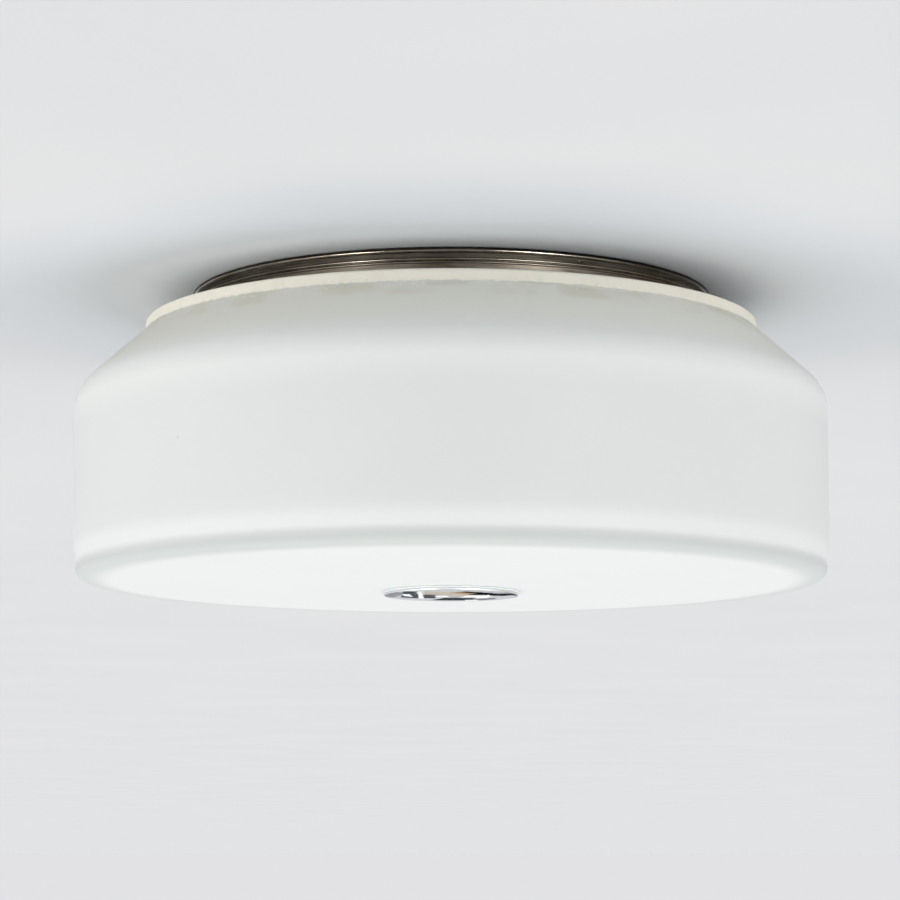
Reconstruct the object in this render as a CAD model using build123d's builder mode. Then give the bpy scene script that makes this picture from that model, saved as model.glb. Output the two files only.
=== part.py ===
"""Flush mount ceiling light: an opal glass shade, clamped under a spun canopy by a centre rod."""

import os
from math import atan, cos, radians, sin, sqrt, tan

from build123d import *

os.makedirs("parts", exist_ok=True)

# Lengths are in millimetres. The origin is at the ceiling, on the lamp's vertical axis.
ceiling_level = 0.0

# Canopy, spun from sheet and open towards the ceiling
canopy_depth = 13.1
canopy_sheet = 0.8
canopy_corner = 2.6
rim_radius = 121.5
rim_bead = 1.2
rim_gap = 0.1
rim_step = 0.9
wall_step = 0.4
upper_ridge_drop = 5.1
lower_ridge_drop = 6.5
ridge_crest = 0.45
ridge_width = 1.3

# Reflector plate under the canopy, which the shade's neck bears on
plate_margin = 2.8
plate_sheet = 0.8

# Opal glass shade
shade_radius = 175.0
glass_thickness = 4.5
neck_top_radius = 142.3
neck_flare = 1.0
neck_height = 5.2
edge_arris = 0.5
cone_slope = 42.2
shoulder_radius = 17.6
foot_drop = 119.9
foot_bead = 3.8
foot_bead_inset = 1.1
cove_radius = 2.0
cove_flank = 25.0
turn_in = 12.0
inner_corner = 8.0
floor_sag = 4.4
cap_seat_radius = 34.0
centre_hole_radius = 8.0

# Mounting bar at the ceiling
bar_length = 200.0
bar_width = 24.0
bar_sheet = 2.0
bar_drop = 4.0
bar_foot = 36.0
bar_joggle = 12.0
bar_corner = 4.0
slot_inset = 18.0
slot_length = 16.0
slot_radius = 2.75

# Centre rod with its nuts and washer
rod_radius = 5.0
rod_bore = 3.6
rod_chamfer = 0.6
rod_tip = 0.5
rod_flats = 14.0
thin_nut = 3.0
canopy_nut_height = 4.0
washer_radius = 9.0
washer_sheet = 1.0

# Gasket and cap under the glass
gasket_margin = 0.7
gasket_sheet = 1.0
cap_radius = 30.7
cap_edge = 1.0
cap_dome = 1.3
cap_fillet = 0.3
cap_floor = 1.6
boss_radius = 7.0
boss_height = 9.0
rod_recess = 0.8
thread_gap = 0.05
hole_gap = 0.2

# E27 lampholders, one each side of the rod and pointing opposite ways
lamp_offset = 40.0
lamp_drop = 50.1
holder_back = 76.0
holder_rear_radius = 19.0
holder_rear_length = 15.0
holder_step = 2.0
holder_radius = 21.0
holder_length = 47.0
holder_rim_radius = 22.5
holder_rim_length = 3.0
socket_radius = 14.4
socket_depth = 30.0
shell_radius = 13.5
shell_sheet = 0.5
shell_length = 24.0
shell_hole = 9.0
tongue_width = 6.0
tongue_sheet = 0.5
tongue_rise = 2.0
tongue_foot = 4.0
tongue_slope = 2.5
tongue_tip = 3.0
holder_screw_spacing = 22.0
holder_screw_length = 9.0
terminal_spacing = 29.0
terminal_bore = 1.6
terminal_depth = 12.0
terminal_screw_inset = 6.0
terminal_screw_recess = 0.5

# Bulbs, held 0.3 mm clear of the holder's metal
bulb_gap = 0.3
bulb_length = 106.0
bulb_radius = 30.0
bulb_wall = 0.8
bulb_neck_radius = 14.5
bulb_neck_length = 1.6
bulb_neck_flare = 2.5
bulb_overlap = 6.0
base_length = 22.0
base_sheet = 0.8
base_chamfer = 1.5
base_hole = 3.0
insulator_height = 3.0
insulator_radius = 11.0
contact_radius = 4.5
contact_height = 0.9

# Lampholder brackets
bracket_sheet = 1.5
bracket_width = 16.0
bracket_foot = 36.0
bracket_bend = 3.0
bracket_tail = 14.0
bracket_corner = 4.0
bracket_screw_inset = 8.0
bracket_screw_pitch = 12.0

# Small screws and nuts
m3_radius = 1.5
m3_flats = 5.5
m3_nut = 2.4
m4_radius = 2.0
m4_flats = 7.0
m4_nut = 3.2
head_radius_ratio = 2.0
head_height_ratio = 1.25
head_taper = 12.0
slot_width = 0.8
slot_depth = 1.0
screw_tail = 0.6

# Terminal block
block_x = 80.0
block_y = 44.0
block_width = 32.0
block_depth = 18.0
block_height = 14.0
block_edge = 1.0
pole_pitch = 10.0
pole_drop = 6.1
pole_bore = 3.0
insert_gap = 0.05
insert_wall = 0.5
insert_length = 15.0
groove_width = 1.6
groove_depth = 3.0
clamp_pitch = 8.0
clamp_hole = 2.2
clamp_recess = 1.5

# Grommet, earth terminal, leads and their clip
grommet_x = 60.0
grommet_y = 74.0
grommet_bore = 4.0
grommet_wall = 2.5
grommet_flange = 2.5
grommet_lip = 2.2
earth_x = 92.0
earth_y = 8.0
ring_radius = 4.5
ring_sheet = 0.8
barrel_radius = 1.9
barrel_length = 8.0
lead_radius = 1.1
lead_pitch = 2.5
lead_gap = 0.05
drop_stand_off = 12.0
drop_fall = 8.25
lead_exit = 11.0
earth_exit = 4.0
lead_clearance = 5.5
lead_dip = 1.75
lead_bend = 8.0
drop_bend = 12.0
turn_bend = 25.0
sweep_bend = 60.0
clip_x = 27.0
clip_y = 16.5
clip_length = 8.0
clip_width = 13.0
clip_wall = 2.0
clip_channel = 3.2
clip_split = 3.0
clip_run = 21.0

# Levels and places that follow from the sizes above
canopy_base = ceiling_level - canopy_depth
canopy_floor = canopy_base + canopy_sheet
upper_wall_radius = rim_radius - rim_step
middle_wall_radius = upper_wall_radius - wall_step
lower_wall_radius = middle_wall_radius - wall_step
wall_foot_radius = lower_wall_radius - wall_step
seat_level = canopy_base - plate_sheet
plate_radius = neck_top_radius - plate_margin
neck_foot_radius = neck_top_radius + neck_flare
foot_level = seat_level - foot_drop
glass_base = foot_level - floor_sag
cap_top = glass_base - gasket_sheet
cap_base = cap_top - cap_edge - cap_dome
gasket_radius = cap_radius - gasket_margin
bar_middle = bar_length - 2 * (bar_foot + bar_joggle)
slot_spacing = bar_length - 2 * slot_inset
lamp_level = seat_level - lamp_drop
pole_level = seat_level - pole_drop
block_base = seat_level - block_height
bracket_back = holder_back + bracket_sheet
bracket_screw_far = bracket_back - bracket_foot + bracket_screw_inset
sides = (1, -1)
bracket_screw_places = [
    (-side * (bracket_screw_far + step), side * lamp_offset)
    for side in sides
    for step in (0, bracket_screw_pitch)
]
pole_places = [block_x + step * pole_pitch for step in (-1, 0, 1)]
block_screw_places = [(block_x + half * pole_pitch / 2, block_y) for half in (-1, 1)]


def keep(builder, name):
    """Labels a finished piece and writes it."""
    builder.part.label = name
    export_step(builder.part, f"parts/{name}.step")


def nut(seat, flats, height, bore):
    """A hexagon nut that stands on the seat plane, along its normal."""
    with BuildSketch(seat) as hexagon:
        RegularPolygon(flats / 2, 6, major_radius=False)
        Circle(bore + thread_gap, mode=Mode.SUBTRACT)
    extrude(hexagon.sketch, amount=height)


def screw(seat, radius, length):
    """A slotted screw: the seat plane lies under its head, and its normal runs along the shank."""
    head_height = head_height_ratio * radius
    with BuildSketch(seat) as shank:
        Circle(radius)
    extrude(shank.sketch, amount=length)
    with BuildSketch(seat) as head:
        Circle(head_radius_ratio * radius)
    extrude(head.sketch, amount=-head_height, taper=head_taper)
    with BuildSketch(seat.offset(-head_height)) as slot:
        Rectangle(2 * head_radius_ratio * radius, slot_width)
    extrude(slot.sketch, amount=slot_depth, mode=Mode.SUBTRACT)


def rings(builder, radius):
    """The circular edges of a piece that have this radius."""
    circles = builder.edges().filter_by(GeomType.CIRCLE)
    return circles.filter_by(lambda edge: abs(edge.radius - radius) < 0.01)


def floor_holes():
    """The holes that the canopy's floor and the reflector plate share."""
    Circle(rod_radius + hole_gap)
    with Locations(*bracket_screw_places, (earth_x, earth_y)):
        Circle(m4_radius + hole_gap)
    with Locations(*block_screw_places):
        Circle(m3_radius + hole_gap)
    with Locations((grommet_x, grommet_y)):
        Circle(grommet_bore + grommet_wall)


# Canopy: rolled rim, stepped wall with two ridges, and a floor that the rod passes through
rim_level = ceiling_level - rim_gap - rim_bead
rim_centre = rim_radius - rim_bead
rim_foot = rim_level - sqrt(rim_bead**2 - (upper_wall_radius - rim_centre) ** 2)
upper_ridge = ceiling_level - upper_ridge_drop
lower_ridge = ceiling_level - lower_ridge_drop
inner_wall_radius = lower_wall_radius - canopy_sheet
with BuildPart() as canopy:
    with BuildSketch(Plane.XZ):
        with BuildLine():
            FilletPolyline(
                (0, canopy_base),
                (wall_foot_radius, canopy_base),
                (lower_wall_radius, lower_ridge - ridge_width / 2),
                radius=canopy_corner,
            )
            ThreePointArc(
                (lower_wall_radius, lower_ridge - ridge_width / 2),
                (middle_wall_radius + ridge_crest, lower_ridge),
                (middle_wall_radius, lower_ridge + ridge_width / 2),
            )
            Line(
                (middle_wall_radius, lower_ridge + ridge_width / 2),
                (middle_wall_radius, upper_ridge - ridge_width / 2),
            )
            ThreePointArc(
                (middle_wall_radius, upper_ridge - ridge_width / 2),
                (upper_wall_radius + ridge_crest, upper_ridge),
                (upper_wall_radius, upper_ridge + ridge_width / 2),
            )
            Line((upper_wall_radius, upper_ridge + ridge_width / 2), (upper_wall_radius, rim_foot))
            rim_top = (rim_centre, rim_level + rim_bead)
            ThreePointArc((upper_wall_radius, rim_foot), (rim_radius, rim_level), rim_top)
            TangentArc(rim_top, (rim_centre - rim_bead, rim_level), tangent=(-1, 0))
            FilletPolyline(
                (rim_centre - rim_bead, rim_level),
                (inner_wall_radius, lower_ridge),
                (wall_foot_radius - canopy_sheet, canopy_floor),
                (0, canopy_floor),
                radius=(0, canopy_corner - canopy_sheet),
            )
            Line((0, canopy_floor), (0, canopy_base))
        make_face()
    revolve()
    with BuildSketch(Plane.XY.offset(canopy_base)):
        floor_holes()
    extrude(amount=canopy_sheet, mode=Mode.SUBTRACT)
keep(canopy, "canopy")

# Reflector plate: its rim bears on the ground edge of the glass neck
with BuildPart() as reflector_plate:
    with BuildSketch(Plane.XY.offset(seat_level)):
        Circle(plate_radius)
    extrude(amount=plate_sheet)
    with BuildSketch(Plane.XY.offset(seat_level)):
        floor_holes()
    extrude(amount=plate_sheet, mode=Mode.SUBTRACT)
keep(reflector_plate, "reflector_plate")

# Glass shade. The foot bead, the cove above it and the turned-in wall meet as tangent arcs.
cone_rise = tan(radians(cone_slope))
shoulder_level = seat_level - neck_height - (shade_radius - neck_foot_radius) * cone_rise
inner_radius = shade_radius - glass_thickness
inner_neck_radius = neck_top_radius - glass_thickness
inner_shoulder_level = shoulder_level + glass_thickness * (cone_rise - 1 / cos(radians(cone_slope)))
inner_neck_foot = inner_shoulder_level + (inner_radius - inner_neck_radius) * cone_rise
bead_centre = Vector(shade_radius - foot_bead_inset - foot_bead, foot_level + foot_bead)
flank = Vector(cos(radians(cove_flank)), sin(radians(cove_flank)))
cove_centre = bead_centre + flank * (foot_bead + cove_radius)
turned = Vector(-cos(radians(turn_in)), sin(radians(turn_in)))
wall_end = cove_centre + turned * cove_radius
wall_start = Vector(shade_radius, wall_end.Y + (shade_radius - wall_end.X) / tan(radians(turn_in / 2)))
floor_slope = 2 * atan(floor_sag / (bead_centre.X - cap_seat_radius))
bead_end = bead_centre + Vector(sin(floor_slope), -cos(floor_slope)) * foot_bead
inner_base = glass_base + glass_thickness
inner_floor_end = (inner_radius, bead_end.Y + glass_thickness)
with BuildPart() as glass_shade:
    with BuildSketch(Plane.XZ):
        with BuildLine():
            Line((inner_neck_radius + edge_arris, seat_level), (neck_top_radius - edge_arris, seat_level))
            Line((neck_top_radius - edge_arris, seat_level), (neck_top_radius, seat_level - edge_arris))
            FilletPolyline(
                (neck_top_radius, seat_level - edge_arris),
                (neck_foot_radius, seat_level - neck_height),
                (shade_radius, shoulder_level),
                wall_start,
                radius=(0, shoulder_radius),
            )
            wall_arc = TangentArc(wall_start, wall_end, tangent=(0, -1))
            cove_arc = TangentArc(wall_end, bead_centre + flank * foot_bead, tangent=wall_arc % 1)
            TangentArc(bead_centre + flank * foot_bead, bead_end, tangent=cove_arc % 1)
            TangentArc((cap_seat_radius, glass_base), bead_end, tangent=(1, 0))
            Line((cap_seat_radius, glass_base), (centre_hole_radius, glass_base))
            Line((centre_hole_radius, glass_base), (centre_hole_radius, inner_base))
            Line((centre_hole_radius, inner_base), (cap_seat_radius, inner_base))
            TangentArc((cap_seat_radius, inner_base), inner_floor_end, tangent=(1, 0))
            FilletPolyline(
                inner_floor_end,
                (inner_radius, inner_shoulder_level),
                (inner_neck_radius, inner_neck_foot),
                (inner_neck_radius, seat_level - edge_arris),
                radius=(shoulder_radius - glass_thickness, 0),
            )
            Line((inner_neck_radius, seat_level - edge_arris), (inner_neck_radius + edge_arris, seat_level))
        make_face()
    revolve()
    fillet(rings(glass_shade, inner_radius).sort_by(Axis.Z)[0], radius=inner_corner)
keep(glass_shade, "glass_shade")

# Mounting bar: feet at the ceiling, joggled down in the middle to leave room for the rod's upper nut
middle_level = ceiling_level - bar_drop
bar_line = [
    (-bar_length / 2, ceiling_level),
    (-bar_middle / 2 - bar_joggle, ceiling_level),
    (-bar_middle / 2, middle_level),
    (bar_middle / 2, middle_level),
    (bar_middle / 2 + bar_joggle, ceiling_level),
    (bar_length / 2, ceiling_level),
]
with BuildPart() as mounting_bar:
    with BuildSketch(Plane.YZ):
        with BuildLine():
            Polyline(*bar_line, *[(y, z - bar_sheet) for y, z in reversed(bar_line)], close=True)
        make_face()
    extrude(amount=bar_width / 2, both=True)
    fillet(mounting_bar.edges().filter_by(Axis.Z), radius=bar_corner)
    with BuildSketch(Plane.XY.offset(ceiling_level)):
        with Locations((0, slot_spacing / 2), (0, -slot_spacing / 2)):
            SlotOverall(slot_length, 2 * slot_radius, rotation=90)
    extrude(amount=-bar_sheet, mode=Mode.SUBTRACT)
    with BuildSketch(Plane.XY.offset(middle_level)):
        Circle(rod_radius + hole_gap)
    extrude(amount=-bar_sheet, mode=Mode.SUBTRACT)
keep(mounting_bar, "mounting_bar")

# Centre rod, from the mounting bar to the cap
rod_top = ceiling_level - rod_tip
rod_end = cap_top + rod_recess
with BuildPart() as centre_rod:
    with BuildSketch(Plane.XY.offset(rod_end)):
        Circle(rod_radius)
        Circle(rod_bore, mode=Mode.SUBTRACT)
    extrude(amount=rod_top - rod_end)
    chamfer(rings(centre_rod, rod_radius), length=rod_chamfer)
keep(centre_rod, "centre_rod")

# Nuts and washer on the rod
with BuildPart() as rod_nuts:
    nut(Plane.XY.offset(middle_level), rod_flats, thin_nut, rod_radius)
    nut(Plane.XY.offset(middle_level - bar_sheet - thin_nut), rod_flats, thin_nut, rod_radius)
keep(rod_nuts, "rod_nuts")

with BuildPart() as canopy_washer:
    with BuildSketch(Plane.XY.offset(seat_level)):
        Circle(washer_radius)
        Circle(rod_radius + hole_gap, mode=Mode.SUBTRACT)
    extrude(amount=-washer_sheet)
keep(canopy_washer, "canopy_washer")

with BuildPart() as canopy_nut:
    nut(Plane.XY.offset(seat_level - washer_sheet), rod_flats, -canopy_nut_height, rod_radius)
keep(canopy_nut, "canopy_nut")

# Gasket and cap: the cap's threaded boss passes up through the glass and on to the rod
with BuildPart() as cap_gasket:
    with BuildSketch(Plane.XY.offset(cap_top)):
        Circle(gasket_radius)
        Circle(centre_hole_radius, mode=Mode.SUBTRACT)
    extrude(amount=gasket_sheet)
keep(cap_gasket, "cap_gasket")

with BuildPart() as cap:
    with BuildSketch(Plane.XZ):
        with BuildLine():
            TangentArc((0, cap_base), (cap_radius, cap_top - cap_edge), tangent=(1, 0))
            Polyline(
                (cap_radius, cap_top - cap_edge),
                (cap_radius, cap_top),
                (boss_radius, cap_top),
                (boss_radius, cap_top + boss_height),
                (rod_radius + thread_gap, cap_top + boss_height),
                (rod_radius + thread_gap, cap_base + cap_floor),
                (0, cap_base + cap_floor),
                (0, cap_base),
            )
        make_face()
    revolve()
    fillet(rings(cap, cap_radius), radius=cap_fillet)
keep(cap, "cap")


# Lamps. Each has a plane at the back of its holder, with the plane's normal along the lamp's axis.
def lamp_back(side):
    return Vector(-side * holder_back, side * lamp_offset, lamp_level)


def lamp_plane(side):
    return Plane(origin=lamp_back(side), x_dir=(0, side, 0), z_dir=(side, 0, 0))


def lamp_meridian(side):
    """The vertical plane through the lamp's axis: its x runs along the axis and its y runs up."""
    return Plane(origin=lamp_back(side), x_dir=(side, 0, 0), z_dir=(0, -side, 0))


def spin(side):
    revolve(axis=Axis(lamp_back(side), (side, 0, 0)))


holder_screw_places = [(0, holder_screw_spacing / 2), (0, -holder_screw_spacing / 2)]
terminal_places = [(terminal_spacing / 2, 0), (-terminal_spacing / 2, 0)]
socket_floor = holder_length - socket_depth
bulb_tip = socket_floor + tongue_sheet + tongue_rise + bulb_gap
base_start = bulb_tip + contact_height + insulator_height
base_end = base_start + base_length
base_radius = shell_radius - bulb_gap


def terminal_plane(side, way):
    """A plane on the lead's bore in the holder, with its normal pointing out through the holder's side."""
    offset = Vector(side * terminal_screw_inset, way * terminal_spacing / 2, 0)
    return Plane(origin=lamp_back(side) + offset, x_dir=(1, 0, 0), z_dir=(0, way, 0))


def lampholder(side):
    shoulder = holder_rear_length + holder_step
    rim_start = holder_length - holder_rim_length
    with BuildPart() as holder:
        with BuildSketch(lamp_meridian(side)):
            with BuildLine():
                Polyline(
                    (0, 0),
                    (0, holder_rear_radius),
                    (holder_rear_length, holder_rear_radius),
                    (shoulder, holder_radius),
                    (rim_start, holder_radius),
                    (rim_start, holder_rim_radius),
                    (holder_length, holder_rim_radius),
                    (holder_length, socket_radius),
                    (socket_floor, socket_radius),
                    (socket_floor, 0),
                    close=True,
                )
            make_face()
        spin(side)
        with BuildSketch(lamp_plane(side)):
            with Locations(*holder_screw_places):
                Circle(m3_radius + hole_gap)
            with Locations(*terminal_places):
                Circle(terminal_bore)
        extrude(amount=terminal_depth, mode=Mode.SUBTRACT)
        for way in sides:
            with BuildSketch(terminal_plane(side, way)):
                Circle(m3_radius + hole_gap)
            extrude(amount=holder_rear_radius, mode=Mode.SUBTRACT)
    return holder


def screw_shell(side):
    with BuildPart() as shell:
        with BuildSketch(lamp_meridian(side)):
            with BuildLine():
                Polyline(
                    (socket_floor, shell_hole),
                    (socket_floor, shell_radius + shell_sheet),
                    (socket_floor + shell_length, shell_radius + shell_sheet),
                    (socket_floor + shell_length, shell_radius),
                    (socket_floor + shell_sheet, shell_radius),
                    (socket_floor + shell_sheet, shell_hole),
                    close=True,
                )
            make_face()
        spin(side)
    return shell


def contact_tongue(side):
    foot_end = -tongue_slope - tongue_foot
    line = [(0, foot_end), (0, -tongue_slope), (tongue_rise, 0), (tongue_rise, tongue_tip)]
    with BuildPart() as tongue:
        with BuildSketch(lamp_meridian(side)):
            with BuildLine():
                lower = [(socket_floor + s, y) for s, y in line]
                upper = [(s + tongue_sheet, y) for s, y in reversed(lower)]
                Polyline(*lower, *upper, close=True)
            make_face()
        extrude(amount=tongue_width / 2, both=True)
    return tongue


def bulb_glass(side):
    """Pear-shaped envelope: a sphere joined to the neck by a tangent arc, open at the base."""
    stem_radius = base_radius - base_sheet - hole_gap
    flare_start = base_end + hole_gap
    neck_start = flare_start + bulb_neck_flare
    neck_end = neck_start + bulb_neck_length
    centre = bulb_tip + bulb_length - bulb_radius
    reach = centre - neck_end
    swell = bulb_radius - bulb_neck_radius
    blend = (reach**2 + bulb_neck_radius**2 - bulb_radius**2) / (2 * swell)
    join = Vector(-reach, bulb_neck_radius + blend).normalized()
    sphere = Vector(centre, 0)
    inner_radius = bulb_radius - bulb_wall
    with BuildPart() as envelope:
        with BuildSketch(lamp_meridian(side)):
            with BuildLine():
                Polyline(
                    (base_end - bulb_overlap, stem_radius),
                    (flare_start, stem_radius),
                    (neck_start, bulb_neck_radius),
                    (neck_end, bulb_neck_radius),
                )
                outer_join = sphere + join * bulb_radius
                inner_join = sphere + join * inner_radius
                outer = TangentArc((neck_end, bulb_neck_radius), outer_join, tangent=(1, 0))
                TangentArc(outer_join, (centre + bulb_radius, 0), tangent=outer % 1)
                Line((centre + bulb_radius, 0), (centre + inner_radius, 0))
                inner = TangentArc((centre + inner_radius, 0), inner_join, tangent=(0, 1))
                TangentArc(inner_join, (neck_end, bulb_neck_radius - bulb_wall), tangent=inner % 1)
                Polyline(
                    (neck_end, bulb_neck_radius - bulb_wall),
                    (neck_start, bulb_neck_radius - bulb_wall),
                    (flare_start, stem_radius - bulb_wall),
                    (base_end - bulb_overlap, stem_radius - bulb_wall),
                    (base_end - bulb_overlap, stem_radius),
                )
            make_face()
        spin(side)
    return envelope


def bulb_base(side):
    with BuildPart() as base:
        with BuildSketch(lamp_meridian(side)):
            with BuildLine():
                Polyline(
                    (base_start, base_hole),
                    (base_start, base_radius - base_chamfer),
                    (base_start + base_chamfer, base_radius),
                    (base_end, base_radius),
                    (base_end, base_radius - base_sheet),
                    (base_start + base_chamfer, base_radius - base_sheet),
                    (base_start + base_sheet, base_radius - base_chamfer - base_sheet),
                    (base_start + base_sheet, base_hole),
                    close=True,
                )
            make_face()
        spin(side)
    return base


def bulb_insulator(side):
    with BuildPart() as insulator:
        with BuildSketch(lamp_meridian(side)):
            with BuildLine():
                Polyline(
                    (base_start - insulator_height, 0),
                    (base_start - insulator_height, contact_radius + hole_gap),
                    (base_start, insulator_radius),
                    (base_start, 0),
                    close=True,
                )
            make_face()
        spin(side)
    return insulator


def bulb_contact(side):
    with BuildPart() as contact:
        with BuildSketch(lamp_plane(side).offset(bulb_tip + contact_height)):
            Circle(contact_radius)
        extrude(amount=-contact_height, taper=head_taper)
    return contact


def lampholder_bracket(side):
    """A bent strip: its foot lies under the reflector plate and its leg stands behind the holder."""
    foot_end = -bracket_back + bracket_foot
    leg_end = lamp_level - bracket_tail
    with BuildPart() as bracket:
        with BuildSketch(Plane(origin=(0, side * lamp_offset, 0), x_dir=(side, 0, 0), z_dir=(0, -side, 0))):
            with BuildLine():
                FilletPolyline(
                    (foot_end, seat_level),
                    (-bracket_back, seat_level),
                    (-bracket_back, leg_end),
                    radius=bracket_bend,
                )
                Line((-bracket_back, leg_end), (-holder_back, leg_end))
                FilletPolyline(
                    (-holder_back, leg_end),
                    (-holder_back, seat_level - bracket_sheet),
                    (foot_end, seat_level - bracket_sheet),
                    radius=bracket_bend - bracket_sheet,
                )
                Line((foot_end, seat_level - bracket_sheet), (foot_end, seat_level))
            make_face()
        extrude(amount=bracket_width / 2, both=True)
        fillet(bracket.edges().filter_by(Axis.X).group_by(Axis.Z)[0], radius=bracket_corner)
        foot_edges = bracket.edges().filter_by(Axis.Z).sort_by(Axis((0, 0, 0), (side, 0, 0)))
        fillet(foot_edges[-2:], radius=bracket_corner)
        with BuildSketch(Plane.XY.offset(seat_level)):
            with Locations(*bracket_screw_places):
                Circle(m4_radius + hole_gap)
        extrude(amount=-bracket_sheet, mode=Mode.SUBTRACT)
        with BuildSketch(lamp_plane(side)):
            with Locations(*holder_screw_places):
                Circle(m3_radius + hole_gap)
        extrude(amount=-bracket_sheet, mode=Mode.SUBTRACT)
    return bracket


lamp_pieces = {
    "lampholder": lampholder,
    "screw_shell": screw_shell,
    "contact_tongue": contact_tongue,
    "lampholder_bracket": lampholder_bracket,
    "bulb_glass": bulb_glass,
    "bulb_base": bulb_base,
    "bulb_insulator": bulb_insulator,
    "bulb_contact": bulb_contact,
}
for side, letter in zip(sides, "ab"):
    for name, make in lamp_pieces.items():
        keep(make(side), f"{name}_{letter}")

# Screws and nuts that hold the brackets, the holders and the leads' ends
floor_stack = canopy_floor - seat_level
with BuildPart() as bracket_screws:
    for x, y in bracket_screw_places:
        seat = Plane(origin=(x, y, seat_level - bracket_sheet))
        screw(seat, m4_radius, bracket_sheet + floor_stack + m4_nut + screw_tail)
keep(bracket_screws, "bracket_screws")

with BuildPart() as bracket_nuts:
    for x, y in bracket_screw_places:
        nut(Plane(origin=(x, y, canopy_floor)), m4_flats, m4_nut, m4_radius)
keep(bracket_nuts, "bracket_nuts")

with BuildPart() as holder_screws:
    for side in sides:
        for across, up in holder_screw_places:
            spot = lamp_plane(side).offset(-bracket_sheet).from_local_coords((across, up, 0))
            screw(Plane(origin=spot, x_dir=(0, 1, 0), z_dir=(side, 0, 0)), m3_radius, holder_screw_length)
keep(holder_screws, "holder_screws")

terminal_screw_start = lead_radius + lead_gap
terminal_screw_end = holder_rear_radius - terminal_spacing / 2 - terminal_screw_recess
with BuildPart() as terminal_screws:
    for side in sides:
        for way in sides:
            with BuildSketch(terminal_plane(side, way).offset(terminal_screw_start)):
                Circle(m3_radius)
            extrude(amount=terminal_screw_end - terminal_screw_start)
            with BuildSketch(terminal_plane(side, way).offset(terminal_screw_end)):
                Rectangle(2 * m3_radius, slot_width)
            extrude(amount=-slot_depth, mode=Mode.SUBTRACT)
keep(terminal_screws, "terminal_screws")

# Terminal block: three poles, each with a brass insert and two clamp screws, held by two screws through it
insert_radius = pole_bore - insert_gap
clamp_places = [(x, block_y + way * clamp_pitch / 2) for x in pole_places for way in sides]
pole_plane = Plane(origin=(0, block_y, pole_level), x_dir=(1, 0, 0), z_dir=(0, -1, 0))
with BuildPart() as terminal_block:
    with BuildSketch(Plane.XY.offset(seat_level)):
        with Locations((block_x, block_y)):
            Rectangle(block_width, block_depth)
    extrude(amount=-block_height)
    fillet(terminal_block.edges().filter_by(Axis.Z), radius=block_edge)
    with BuildSketch(Plane.XY.offset(block_base)):
        with Locations(*block_screw_places):
            Rectangle(groove_width, block_depth)
    extrude(amount=groove_depth, mode=Mode.SUBTRACT)
    with BuildSketch(Plane.XY.offset(block_base)):
        with Locations(*block_screw_places):
            Circle(m3_radius + hole_gap)
    extrude(amount=block_height, mode=Mode.SUBTRACT)
    with BuildSketch(Plane.XY.offset(block_base)):
        with Locations(*clamp_places):
            Circle(clamp_hole)
    extrude(amount=pole_level - block_base, mode=Mode.SUBTRACT)
    with BuildSketch(pole_plane):
        with Locations(*[(x, 0) for x in pole_places]):
            Circle(pole_bore)
    extrude(amount=block_depth / 2, both=True, mode=Mode.SUBTRACT)
keep(terminal_block, "terminal_block")

with BuildPart() as block_inserts:
    with BuildSketch(pole_plane):
        with Locations(*[(x, 0) for x in pole_places]):
            Circle(insert_radius)
            Circle(insert_radius - insert_wall, mode=Mode.SUBTRACT)
    extrude(amount=insert_length / 2, both=True)
    with BuildSketch(Plane.XY.offset(block_base)):
        with Locations(*clamp_places):
            Circle(m3_radius + hole_gap)
    extrude(amount=pole_level - block_base, mode=Mode.SUBTRACT)
keep(block_inserts, "block_inserts")

# Clamp screws: those on the lamp side press on the lower lead of each pole
clamp_tip = pole_level - lead_pitch / 2 - lead_radius - lead_gap
clamp_end = block_base + clamp_recess
with BuildPart() as clamp_screws:
    with BuildSketch(Plane.XY.offset(clamp_end)):
        with Locations(*clamp_places):
            Circle(m3_radius)
    extrude(amount=clamp_tip - clamp_end)
    with BuildSketch(Plane.XY.offset(clamp_end)):
        with Locations(*clamp_places):
            Rectangle(2 * m3_radius, slot_width)
    extrude(amount=slot_depth, mode=Mode.SUBTRACT)
keep(clamp_screws, "clamp_screws")

with BuildPart() as block_screws:
    for x, y in block_screw_places:
        seat = Plane(origin=(x, y, block_base))
        screw(seat, m3_radius, block_height + floor_stack + m3_nut + screw_tail)
keep(block_screws, "block_screws")

with BuildPart() as block_nuts:
    for x, y in block_screw_places:
        nut(Plane(origin=(x, y, canopy_floor)), m3_flats, m3_nut, m3_radius)
keep(block_nuts, "block_nuts")

# Earth terminal: a ring under the plate with a barrel for the lead, its screw and its nut
barrel_level = seat_level - barrel_radius - hole_gap
barrel_start = earth_y + ring_radius + hole_gap
barrel_plane = Plane(origin=(earth_x, barrel_start, barrel_level), x_dir=(1, 0, 0), z_dir=(0, 1, 0))
with BuildPart() as earth_ring:
    with BuildSketch(Plane.XY.offset(seat_level)):
        with Locations((earth_x, earth_y)):
            Circle(ring_radius)
        with Locations((earth_x, barrel_start)):
            Rectangle(ring_radius, ring_radius)
    extrude(amount=-ring_sheet)
    with BuildSketch(barrel_plane):
        Circle(barrel_radius)
    extrude(amount=barrel_length)
    with BuildSketch(barrel_plane):
        Circle(lead_radius + lead_gap)
    extrude(amount=barrel_length, mode=Mode.SUBTRACT)
    with BuildSketch(Plane.XY.offset(seat_level)):
        with Locations((earth_x, earth_y)):
            Circle(m4_radius + hole_gap)
    extrude(amount=-2 * barrel_radius, mode=Mode.SUBTRACT)
keep(earth_ring, "earth_ring")

with BuildPart() as earth_screw:
    seat = Plane(origin=(earth_x, earth_y, seat_level - ring_sheet))
    screw(seat, m4_radius, ring_sheet + floor_stack + m4_nut + screw_tail)
keep(earth_screw, "earth_screw")

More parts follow.
